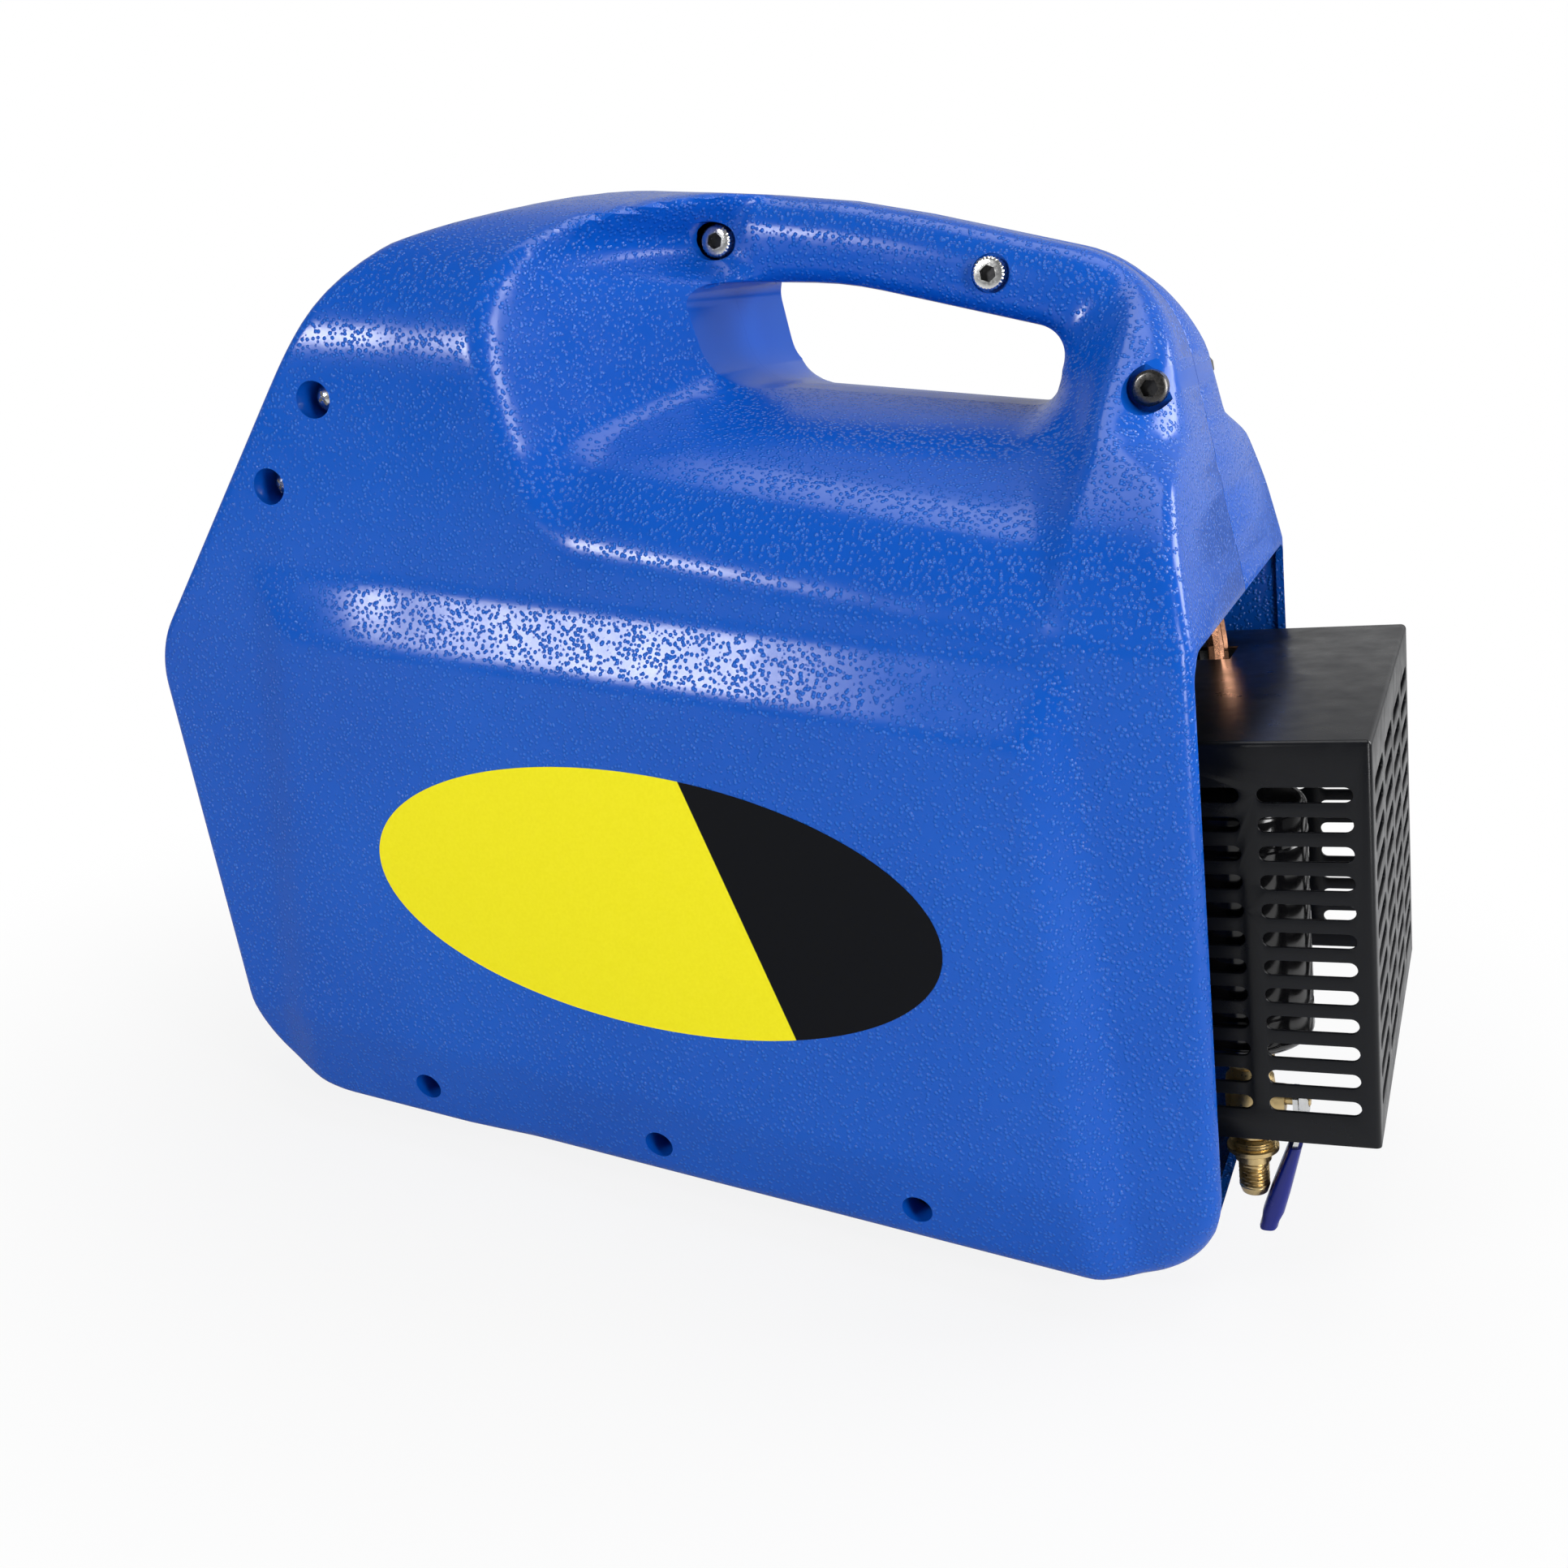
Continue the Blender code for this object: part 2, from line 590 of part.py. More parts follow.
def case_relief(spacing, rings):
    """The side view of the case as sampled places (x, z), triangles and half widths."""
    corners = (NOSE, SHOULDER, CROWN, REAR_SHOULDER, REAR_BREAK, REAR_FOOT, FRONT_FOOT)
    outline = resampled(rounded_outline(corners), spacing)
    corners = (HOLE_FRONT_TOP, HOLE_REAR_TOP, HOLE_REAR_LOW, HOLE_FRONT_LOW)
    hole = resampled(rounded_outline(corners, ARC_STEP * 2), spacing * 0.8)
    spots, faces = relief_triangles(outline, hole, relief_points(outline, hole, spacing, rings))
    return spots, faces, half_width(spots[:, 0], spots[:, 1], outline, hole)


def relief_sheet(relief, side, inset):
    """The relief of one side as an open sheet in a bmesh, moved in by an inset."""
    spots, faces, half = relief
    bm = bmesh.new()
    verts = [bm.verts.new((x, side * (y - inset), z)) for (x, z), y in zip(spots, half)]
    for face in faces:
        bm.faces.new([verts[n] for n in face])
    return bm


def half_skin(name, side, relief):
    """Outer skin of one half of the case, open at the seam: relief, rim and the hand hole's wall."""
    bm = relief_sheet(relief, side, 0)
    rim = [edge for edge in bm.edges if edge.is_boundary]
    moved = bmesh.ops.extrude_edge_only(bm, edges=rim)["geom"]
    for item in moved:
        if isinstance(item, bmesh.types.BMVert):
            item.co.y = side * GAP / 2
    return oriented_outwards(mesh_from(bm, name), side)


def half_block(name, side, relief, inset):
    """The inside of one half as a solid, up to an inset below the relief."""
    bm = relief_sheet(relief, side, inset)
    moved = bmesh.ops.extrude_face_region(bm, geom=list(bm.faces), use_keep_orig=True)["geom"]
    for item in moved:
        if isinstance(item, bmesh.types.BMVert):
            item.co.y = 0
    return mesh_from(bm, name)


def oriented_outwards(mesh, side):
    """Faces of an open skin turned so that the side relief faces away from the seam."""
    total = sum(face.normal.y * face.area for face in mesh.polygons)
    if total * side < 0:
        mesh.flip_normals()
    return mesh


# Simple shapes, each a mesh in its own coordinates


def box_mesh(name, low, high, bevel=0.0, segments=2, sharp=()):
    """A box with rounded edges, except those that lie in a face named as sharp, such as -Y."""
    low, high = Vector(low), Vector(high)
    flat = [("XYZ".index(face[1]), (high if face[0] == "+" else low)["XYZ".index(face[1])]) for face in sharp]
    bm = bmesh.new()
    bmesh.ops.create_cube(bm, size=1)
    bmesh.ops.scale(bm, vec=high - low, verts=bm.verts)
    bmesh.ops.translate(bm, vec=(low + high) / 2, verts=bm.verts)
    if bevel:
        edges = [edge for edge in bm.edges if not any(
            all(abs(vert.co[axis] - level) < 1e-7 for vert in edge.verts) for axis, level in flat)]
        bmesh.ops.bevel(bm, geom=edges, offset=bevel, segments=segments, profile=0.5, affect="EDGES")
    return mesh_from(bm, name)


def add_cylinder(bm, radius, low, high, at=(0, 0), axis="Z", sides=16):
    """A closed cylinder along an axis, added to a bmesh."""
    turn = {"Z": Matrix.Identity(3), "Y": Matrix.Rotation(math.pi / 2, 3, "X"),
            "X": Matrix.Rotation(math.pi / 2, 3, "Y")}[axis]
    middle = (low + high) / 2
    centre = {"Z": (at[0], at[1], middle), "Y": (at[0], middle, at[1]), "X": (middle, at[0], at[1])}[axis]
    made = bmesh.ops.create_cone(bm, cap_ends=True, segments=sides, radius1=radius, radius2=radius,
                                 depth=high - low)["verts"]
    bmesh.ops.rotate(bm, cent=(0, 0, 0), matrix=turn, verts=made)
    bmesh.ops.translate(bm, vec=centre, verts=made)


def cylinders_mesh(name, items):
    bm = bmesh.new()
    for item in items:
        add_cylinder(bm, **item)
    return mesh_from(bm, name)


def turned(name, profile, look, parent=None, location=(0, 0, 0), rotation=(0, 0, 0), sides=24):
    """A turned piece: a profile of (radius, height) from the top axis down the outer side."""
    bm = bmesh.new()
    verts = [bm.verts.new((radius, 0, height)) for radius, height in profile]
    for start, end in zip(verts, verts[1:]):
        bm.edges.new((start, end))
    mesh = bpy.data.meshes.new(name)
    bm.to_mesh(mesh)
    bm.free()
    obj = add_part(name, mesh, look, parent, location, rotation, smooth=0)
    screw = obj.modifiers.new("turn", "SCREW")
    screw.steps = sides
    screw.render_steps = sides
    screw.use_merge_vertices = True
    screw.merge_threshold = 0.00001
    return obj


def stadium(bm, centre, length, height, low, high, along, up, through, ends=4):
    """A slot cutter with round ends, as a prism added to a bmesh."""
    centre, along, up, through = Vector(centre), Vector(along), Vector(up), Vector(through)
    radius = height / 2
    ring = []
    for side in (1, -1):
        for n in range(ends + 1):
            angle = -math.pi / 2 + math.pi * n / ends
            out = side * (length / 2 - radius + radius * math.cos(angle))
            ring.append(centre + along * out + up * side * radius * math.sin(angle))
    front = [bm.verts.new(point + through * high) for point in ring]
    back = [bm.verts.new(point + through * low) for point in ring]
    bm.faces.new(front)
    bm.faces.new(list(reversed(back)))
    for n in range(len(ring)):
        m = (n + 1) % len(ring)
        bm.faces.new((front[n], back[n], back[m], front[m]))


def flat_curve(name, thickness, outlines):
    """A flat sheet in local XY with holes: closed outlines filled and extruded."""
    curve = bpy.data.curves.new(name, "CURVE")
    curve.dimensions = "2D"
    curve.fill_mode = "BOTH"
    curve.extrude = thickness / 2
    for points in outlines:
        spline = curve.splines.new("POLY")
        spline.points.add(len(points) - 1)
        for point, (x, y) in zip(spline.points, points):
            point.co = (x, y, 0, 1)
        spline.use_cyclic_u = True
    return curve


def rectangle(half_x, half_y, radius=0.0, at=(0, 0)):
    x, y = at
    corners = [(x - half_x, y - half_y, radius), (x + half_x, y - half_y, radius),
               (x + half_x, y + half_y, radius), (x - half_x, y + half_y, radius)]
    if not radius:
        return [corner[:2] for corner in corners]
    return [tuple(p) for p in rounded_outline(corners, math.radians(30))]


def circle(radius, at=(0, 0), sides=24):
    return [(at[0] + radius * math.cos(2 * math.pi * n / sides),
             at[1] + radius * math.sin(2 * math.pi * n / sides)) for n in range(sides)]


def smooth_path(points, step):
    """A smooth route through the given points, sampled about every step."""
    route = []
    points = [Vector(p) for p in points]
    padded = [2 * points[0] - points[1], *points, 2 * points[-1] - points[-2]]
    for before, start, end, after in zip(padded, padded[1:], padded[2:], padded[3:]):
        count = max(1, round((end - start).length / step))
        for n in range(count):
            t = n / count
            route.append(0.5 * (2 * start + (end - before) * t
                                + (2 * before - 5 * start + 4 * end - after) * t ** 2
                                + (3 * start - before - 3 * end + after) * t ** 3))
    route.append(points[-1])
    return route


def tube(name, points, radius, look, parent=None):
    curve = bpy.data.curves.new(name, "CURVE")
    curve.dimensions = "3D"
    curve.bevel_depth = radius
    curve.bevel_resolution = 2
    curve.use_fill_caps = True
    spline = curve.splines.new("POLY")
    spline.points.add(len(points) - 1)
    for point, place_at in zip(spline.points, points):
        point.co = (*place_at, 1)
    return add_part(name, curve, look, parent)


# The case


def case_bosses(side):
    """Screw and bolt bosses of one half, from where they start out past its wall, one mesh."""
    starts = [(spot, BOLT + BOSS_WALL, GAP) for spot in HANDLE_BOLTS]
    starts.append((REAR_BOLT, REAR_BOLT_BORE + BORE_WALL, GAP))
    starts += [(spot, PANEL_SCREW_BORE + BORE_WALL, panel_flange_half() + GAP) for spot in PANEL_SCREWS]
    starts += [((x, BASE_SCREW_Z), BASE_SCREW_BORE + BORE_WALL, BASE_HALF + GAP) for x in BASE_SCREW_X]
    items = []
    for spot, radius, start in starts:
        low, high = sorted((side * start, side * (BELLY_HALF + WALL)))
        items.append(dict(radius=radius, low=low, high=high, at=spot, axis="Y", sides=10))
    return cylinders_mesh("bosses", items)


def case_bores(side):
    """The clearance bores of one half, and the holes for the feet's studs."""
    items = []
    far = BELLY_HALF + WALL
    for spot in (*HANDLE_BOLTS, REAR_BOLT):
        items.append(dict(radius=BOLT + GAP, low=-far, high=far, at=spot, axis="Y", sides=8))
    starts = [(spot, panel_flange_half()) for spot in PANEL_SCREWS]
    starts += [((x, BASE_SCREW_Z), BASE_HALF) for x in BASE_SCREW_X]
    for spot, start in starts:
        low, high = sorted((side * start, side * far))
        items.append(dict(radius=SCREW + GAP, low=low, high=high, at=spot, axis="Y", sides=8))
    for x in FOOT_X:
        items.append(dict(radius=STUD_RADIUS + GAP, low=0, high=FOOT_HEIGHT + 2 * WALL,
                          at=(x, side * FOOT_Y), sides=12))
    return cylinders_mesh("bores", items)


def case_counterbores(side):
    """The wider recesses that hold the heads of the bolts and screws of one half."""
    seats = [(spot, BOLT_HEAD + HEAD_CLEARANCE, HANDLE_HALF - BOLT_SEAT) for spot in HANDLE_BOLTS]
    seats.append((REAR_BOLT, REAR_BOLT_BORE, REAR_BOLT_FLOOR))
    seats += [(spot, PANEL_SCREW_BORE, PANEL_SCREW_FLOOR) for spot in PANEL_SCREWS]
    seats += [((x, BASE_SCREW_Z), BASE_SCREW_BORE, BASE_SCREW_FLOOR) for x in BASE_SCREW_X]
    items = []
    for spot, radius, floor in seats:
        low, high = sorted((side * floor, side * (BELLY_HALF + WALL)))
        items.append(dict(radius=radius, low=low, high=high, at=spot, axis="Y", sides=12))
    return cylinders_mesh("counterbores", items)


def opening_prism(name, parent, half_x, low_y, high_y, depth_in, depth_out):
    """A rounded rectangular cutter through an end face, in that face's frame."""
    at = (0, (low_y + high_y) / 2)
    outline = rectangle(half_x, (high_y - low_y) / 2, OPENING_CORNER, at)
    bm = bmesh.new()
    face = bm.faces.new([bm.verts.new((x, y, -depth_in)) for x, y in outline])
    moved = bmesh.ops.extrude_face_region(bm, geom=[face])["geom"]
    bmesh.ops.translate(bm, vec=(0, 0, depth_in + depth_out),
                        verts=[item for item in moved if isinstance(item, bmesh.types.BMVert)])
    return add_cutter(name, mesh_from(bm, name), parent)


def panel_flange_half():
    return FRONT_OPENING_HALF + PANEL_MARGIN


def build_case(frames):
    """Both halves of the moulded case."""
    lean = math.cos(REAR_LEAN)
    low = (REAR_OPENING_LOW - frames["rear"].location.z) / lean
    high = (REAR_OPENING_TOP - frames["rear"].location.z) / lean
    openings = [
        opening_prism("rear_opening", frames["rear"], REAR_OPENING_HALF, low, high, 22 * MM, 30 * MM),
        opening_prism("upper_opening", frames["upper"], FRONT_OPENING_HALF, -FRONT_OPENING_REACH,
                      FRONT_OPENING_REACH, 12 * MM, 20 * MM),
        opening_prism("lower_opening", frames["lower"], FRONT_OPENING_HALF, -FRONT_OPENING_REACH,
                      FRONT_OPENING_REACH, 12 * MM, 20 * MM),
    ]
    relief = case_relief(RELIEF_STEP, (0.12, 0.45, 1.0))
    for name, side in (("near_shell", -1), ("far_shell", 1)):
        shell = add_part(name, half_skin(name, side, relief), "shell_blue", smooth=60)
        wall = shell.modifiers.new("wall", "SOLIDIFY")
        wall.thickness = WALL
        wall.offset = -1
        wall.use_even_offset = False
        bosses = add_cutter(f"{name}_bosses", case_bosses(side))
        block = add_cutter(f"{name}_block", half_block(f"{name}_block", side, relief, WALL / 2))
        boolean(bosses, block, "INTERSECT")
        boolean(shell, bosses, "UNION")
        for opening in openings:
            boolean(shell, opening)
        boolean(shell, add_cutter(f"{name}_bores", case_bores(side)))
        boolean(shell, add_cutter(f"{name}_counterbores", case_counterbores(side)))


# Fasteners


def socket_bolt(name, length, look, location, rotation):
    """A socket-head bolt along local Z: the head's top at Z = 0 and the shank below it."""
    head, socket = BOLT_HEAD_HEIGHT, BOLT_HEAD_HEIGHT * 0.6
    profile = [(0, -socket), (BOLT * 0.95, -socket), (BOLT * 0.95, 0), (BOLT_HEAD - 0.5 * MM, 0),
               (BOLT_HEAD, -0.5 * MM), (BOLT_HEAD, -head), (BOLT, -head), (BOLT, -length), (0, -length)]
    return turned(name, profile, look, None, location, rotation, 16)


def flange_nut(name, location, rotation, look="zinc"):
    """A round-flanged nut along local Z, its outer face at Z = 0."""
    height = BOLT_HEAD_HEIGHT
    profile = [(BOLT + GAP, 0), (BOLT_HEAD - 0.6 * MM, 0), (BOLT_HEAD, -0.6 * MM), (BOLT_HEAD, -height),
               (BOLT + GAP, -height), (BOLT + GAP, 0)]
    return turned(name, profile, look, None, location, rotation, 12)


def pan_screw(name, length, location, rotation, look="zinc"):
    head = SCREW_HEAD_HEIGHT
    profile = [(0, 0), (SCREW_HEAD * 0.6, -0.2 * head), (SCREW_HEAD, -0.65 * head), (SCREW_HEAD, -head),
               (SCREW, -head), (SCREW, -length), (0, -length)]
    return turned(name, profile, look, None, location, rotation, 12)


def build_fasteners():
    near, far = (math.pi / 2, 0, 0), (-math.pi / 2, 0, 0)
    seat = HANDLE_HALF - BOLT_SEAT + GAP
    for n, (x, z) in enumerate(HANDLE_BOLTS, 1):
        head_top = seat + BOLT_HEAD_HEIGHT
        socket_bolt(f"handle_bolt_{n}", 2 * head_top - GAP, "zinc", (x, -head_top, z), near)
        flange_nut(f"handle_nut_{n}", (x, head_top, z), far)
    head_top = REAR_BOLT_FLOOR + GAP + BOLT_HEAD_HEIGHT
    x, z = REAR_BOLT
    socket_bolt("rear_bolt", 2 * head_top - GAP, "dark_zinc", (x, -head_top, z), near)
    flange_nut("rear_nut", (x, head_top, z), far, "dark_zinc")
    count = 0
    for side, turn, label in ((-1, near, "near"), (1, far, "far")):
        for n, (x, z) in enumerate(PANEL_SCREWS, 1):
            top = PANEL_SCREW_FLOOR + GAP + SCREW_HEAD_HEIGHT
            length = top - panel_flange_half() + SCREW_REACH
            pan_screw(f"panel_screw_{label}_{n}", length, (x, side * top, z), turn)
        for x in BASE_SCREW_X:
            count += 1
            top = BASE_SCREW_FLOOR + GAP + SCREW_HEAD_HEIGHT
            length = top - BASE_HALF + SCREW_REACH
            pan_screw(f"base_screw_{count}", length, (x, side * top, BASE_SCREW_Z), turn, "dark_zinc")


# Base plate and feet


def build_base():
    floor, sheet = BASE_FLOOR, BASE_SHEET
    plate = box_mesh("base_plate", (BASE_FRONT, -BASE_HALF, floor),
                     (BASE_REAR, BASE_HALF, floor + BASE_FLANGE))
    obj = add_part("base_plate", plate, "steel")
    inner = box_mesh("base_hollow", (BASE_FRONT - sheet, -BASE_HALF + sheet, floor + sheet),
                     (BASE_REAR + sheet, BASE_HALF - sheet, floor + 2 * BASE_FLANGE))
    boolean(obj, add_cutter("base_hollow", inner))
    items = []
    for side in (-1, 1):
        low, high = sorted((side * (BASE_HALF - 2 * sheet), side * (BASE_HALF + sheet)))
        for x in BASE_SCREW_X:
            items.append(dict(radius=SCREW + GAP, low=low, high=high, at=(x, BASE_SCREW_Z), axis="Y",
                              sides=12))
    boolean(obj, add_cutter("base_holes", cylinders_mesh("base_holes", items)))
    top = floor - GAP
    profile = [(0, top), (STUD_RADIUS, top), (STUD_RADIUS, FOOT_HEIGHT - GAP),
               (FOOT_NECK, FOOT_HEIGHT - GAP), (FOOT_RADIUS, FOOT_EDGE), (FOOT_RADIUS - FOOT_EDGE, 0), (0, 0)]
    spots = [(x, y) for x in FOOT_X for y in (-FOOT_Y, FOOT_Y)]
    for n, (x, y) in enumerate(spots, 1):
        turned(f"foot_{n}", profile, "rubber", None, (x, y, 0), sides=16)


# Guard box


def slot_heights():
    return [BOX_TOP - FIRST_SLOT - SLOT_PITCH * n for n in range(SLOT_ROWS)]


def slot_cutter():
    """All slots of the side walls and the end wall, one mesh in the rear frame."""
    bm = bmesh.new()
    reach = BOX_HALF * 1.3
    first = BOX_OUT - SIDE_SLOT_MARGIN - SIDE_SLOT / 2
    for height in slot_heights():
        for depth in (first, first - SIDE_SLOT - SIDE_SLOT_GAP):
            stadium(bm, (0, height, depth), SIDE_SLOT, SLOT_HEIGHT, -reach, reach, (0, 0, 1), (0, 1, 0),
                    (1, 0, 0), ends=3)
    cutter = mesh_from(bm, "side_slots")
    bm = bmesh.new()
    for height in slot_heights():
        for n in range(END_SLOTS):
            across = END_SLOT_PITCH * (n - (END_SLOTS - 1) / 2)
            stadium(bm, (across, height, BOX_OUT), END_SLOT, SLOT_HEIGHT, -5 * MM, 5 * MM, (1, 0, 0),
                    (0, 1, 0), (0, 0, 1), ends=3)
    return cutter, mesh_from(bm, "end_slots")


def build_guard_box(rear):
    """A folded sheet box, open below and towards the machine, with slotted walls."""
    block = box_mesh("guard_box", (-BOX_HALF, BOX_LOW, BOX_IN), (BOX_HALF, BOX_TOP, BOX_OUT), BOX_BEND, 1,
                     ("-Y", "-Z"))
    box = add_part("guard_box", block, "black_powder", rear)
    wide, top = BOX_HALF - SHEET, BOX_TOP - SHEET
    hollow = box_mesh("guard_hollow", (-wide, BOX_LOW - 10 * MM, BOX_IN + SHEET),
                      (wide, top, BOX_OUT - SHEET))
    boolean(box, add_cutter("guard_hollow", hollow, rear))
    mouth = box_mesh("guard_mouth", (-wide + BOX_FLANGE, BOX_LOW - 10 * MM, BOX_IN - 5 * MM),
                     (wide - BOX_FLANGE, top - BOX_FLANGE, BOX_IN + 5 * MM))
    boolean(box, add_cutter("guard_mouth", mouth, rear))
    notch_low, notch_high = TUBE_PASS[0] - 2 * TUBE_RADIUS, TUBE_PASS[1] + 2 * TUBE_RADIUS
    notch = box_mesh("tube_notch", (notch_low, top - 2 * BOX_FLANGE, BOX_IN - 5 * MM),
                     (notch_high, BOX_TOP + 5 * MM, TUBE_DEPTH + 2 * TUBE_RADIUS))
    boolean(box, add_cutter("tube_notch", notch, rear))
    sides, end = slot_cutter()
    boolean(box, add_cutter("side_slots", sides, rear))
    boolean(box, add_cutter("end_slots", end, rear))


# Rear: shroud, fan, condenser


def build_shroud(rear):
    depth = SHROUD_DEPTH + SHEET

    def up(height):
        return (height - rear.location.z + depth * math.sin(REAR_LEAN)) / math.cos(REAR_LEAN)

    wide = BELLY_HALF - RELIEF - WALL - 1.5 * GAP
    narrow = wide - LOW_TAPER * (BELLY_LOW - SHROUD_LOW_Z)
    outline = [(-narrow, up(SHROUD_LOW_Z)), (narrow, up(SHROUD_LOW_Z)), (wide, up(BELLY_LOW)),
               (wide, SHROUD_TOP), (-wide, SHROUD_TOP), (-wide, up(BELLY_LOW))]
    middle = (0, FAN_Z)
    reach = (TUBE_PASS[1] - TUBE_PASS[0]) / 2 + 2 * TUBE_RADIUS
    hole = rectangle(reach, 2 * TUBE_RADIUS, 0, (sum(TUBE_PASS) / 2, BOX_TOP + TUBE_RISE))
    sheet = flat_curve("fan_shroud", SHEET, [outline, circle(FAN_HOLE, middle, 32), hole])
    add_part("fan_shroud", sheet, "black_powder", rear, (0, 0, -SHROUD_DEPTH - SHEET / 2))


def blade_outline():
    inner, outer = FAN_HUB - HUB_WALL / 2, FAN_RADIUS
    root, tip = BLADE_ROOT / 2, BLADE_TIP / 2
    return [(inner, -root), (outer * 0.7, -tip * 0.95), (outer * 0.96, -tip * 1.1), (outer, -tip * 0.3),
            (outer * 0.97, tip * 0.9), (outer * 0.7, tip * 0.95), (inner, root)]


def build_fan(rear):
    """Pitched blades on a hub cup, turning on the fan motor's shaft."""
    at = (0, FAN_Z, -SHROUD_DEPTH - SHEET - FAN_GAP - FAN_WIDTH / 2)
    half = FAN_WIDTH / 2
    inner, cap = FAN_HUB - HUB_WALL, half - 2 * HUB_WALL
    profile = [(0, half), (inner, half), (FAN_HUB, half - HUB_WALL), (FAN_HUB, -half), (inner, -half),
               (inner, 0), (SHAFT, 0), (SHAFT, cap), (0, cap)]
    fan = turned("fan", profile, "black_plastic", rear, at, sides=24)
    bm = bmesh.new()
    for n in range(FAN_BLADES):
        before = set(bm.verts)
        ring = [bm.verts.new((x, y, -BLADE_THICK / 2)) for x, y in blade_outline()]
        face = bm.faces.new(ring)
        moved = bmesh.ops.extrude_face_region(bm, geom=[face])["geom"]
        bmesh.ops.translate(bm, vec=(0, 0, BLADE_THICK),
                            verts=[item for item in moved if isinstance(item, bmesh.types.BMVert)])
        blade = [vert for vert in bm.verts if vert not in before]
        bmesh.ops.rotate(bm, cent=(0, 0, 0), matrix=Matrix.Rotation(FAN_PITCH, 3, "X"), verts=blade)
        spin = Matrix.Rotation(2 * math.pi * n / FAN_BLADES, 3, "Z")
        bmesh.ops.rotate(bm, cent=(0, 0, 0), matrix=spin, verts=blade)
    boolean(fan, add_cutter("fan_blades", mesh_from(bm, "fan_blades"), rear, at), "UNION")
    shaft_top = at[2] + cap - GAP
    back = at[2] - half - FAN_MOTOR_GAP
    body, edge, end = FAN_MOTOR_RADIUS, 1 * MM, back - FAN_MOTOR_LENGTH
    profile = [(0, shaft_top), (SHAFT - GAP, shaft_top), (SHAFT - GAP, back), (body - edge, back),
               (body, back - edge), (body, end), (0, end)]
    motor = turned("fan_motor", profile, "steel", rear, (0, FAN_Z, 0), sides=20)
    arm = back - FAN_MOTOR_LENGTH * 0.75
    reach = FAN_HOLE + ARM_REACH
    shroud_back = -SHROUD_DEPTH - SHEET - GAP
    bm = bmesh.new()
    for angle in (math.pi / 4, -math.pi / 4):
        before = set(bm.verts)
        add_cylinder(bm, ARM_RADIUS, -reach, reach, (0, arm), "X", 8)
        for side in (-1, 1):
            add_cylinder(bm, 1.2 * ARM_RADIUS, arm - ARM_RADIUS, shroud_back, (side * reach, 0), "Z", 8)
        made = [vert for vert in bm.verts if vert not in before]
        bmesh.ops.rotate(bm, cent=(0, 0, 0), matrix=Matrix.Rotation(angle, 3, "Z"), verts=made)
    boolean(motor, add_cutter("motor_arms", mesh_from(bm, "motor_arms"), rear, (0, FAN_Z, 0)), "UNION", True)
    return at


def build_condenser(rear):
    """A finned block between two end plates, standing on the base plate."""
    floor = BASE_FLOOR + BASE_SHEET + GAP
    back = -CONDENSER_DEPTH - CONDENSER_THICK
    low = (floor - rear.location.z - back * math.sin(REAR_LEAN)) / math.cos(REAR_LEAN)
    high = CONDENSER_TOP
    core = box_mesh("condenser", (-CONDENSER_HALF, low, back), (CONDENSER_HALF, high, -CONDENSER_DEPTH))
    obj = add_part("condenser", core, "aluminium", rear)
    bm = bmesh.new()
    pitch = 2 * (CONDENSER_HALF - FIN_MARGIN) / CONDENSER_FINS
    for n in range(CONDENSER_FINS):
        x = -CONDENSER_HALF + FIN_MARGIN + pitch * (n + 0.5)
        for front in (-CONDENSER_DEPTH, back):
            made = bmesh.ops.create_cube(bm, size=1)["verts"]
            bmesh.ops.scale(bm, vec=(pitch * 0.6, high - low - 2 * FIN_END, 2 * FIN_DEPTH), verts=made)
            bmesh.ops.translate(bm, vec=(x, (high + low) / 2, front), verts=made)
    boolean(obj, add_cutter("fin_gaps", mesh_from(bm, "fin_gaps"), rear))


# Inlet line


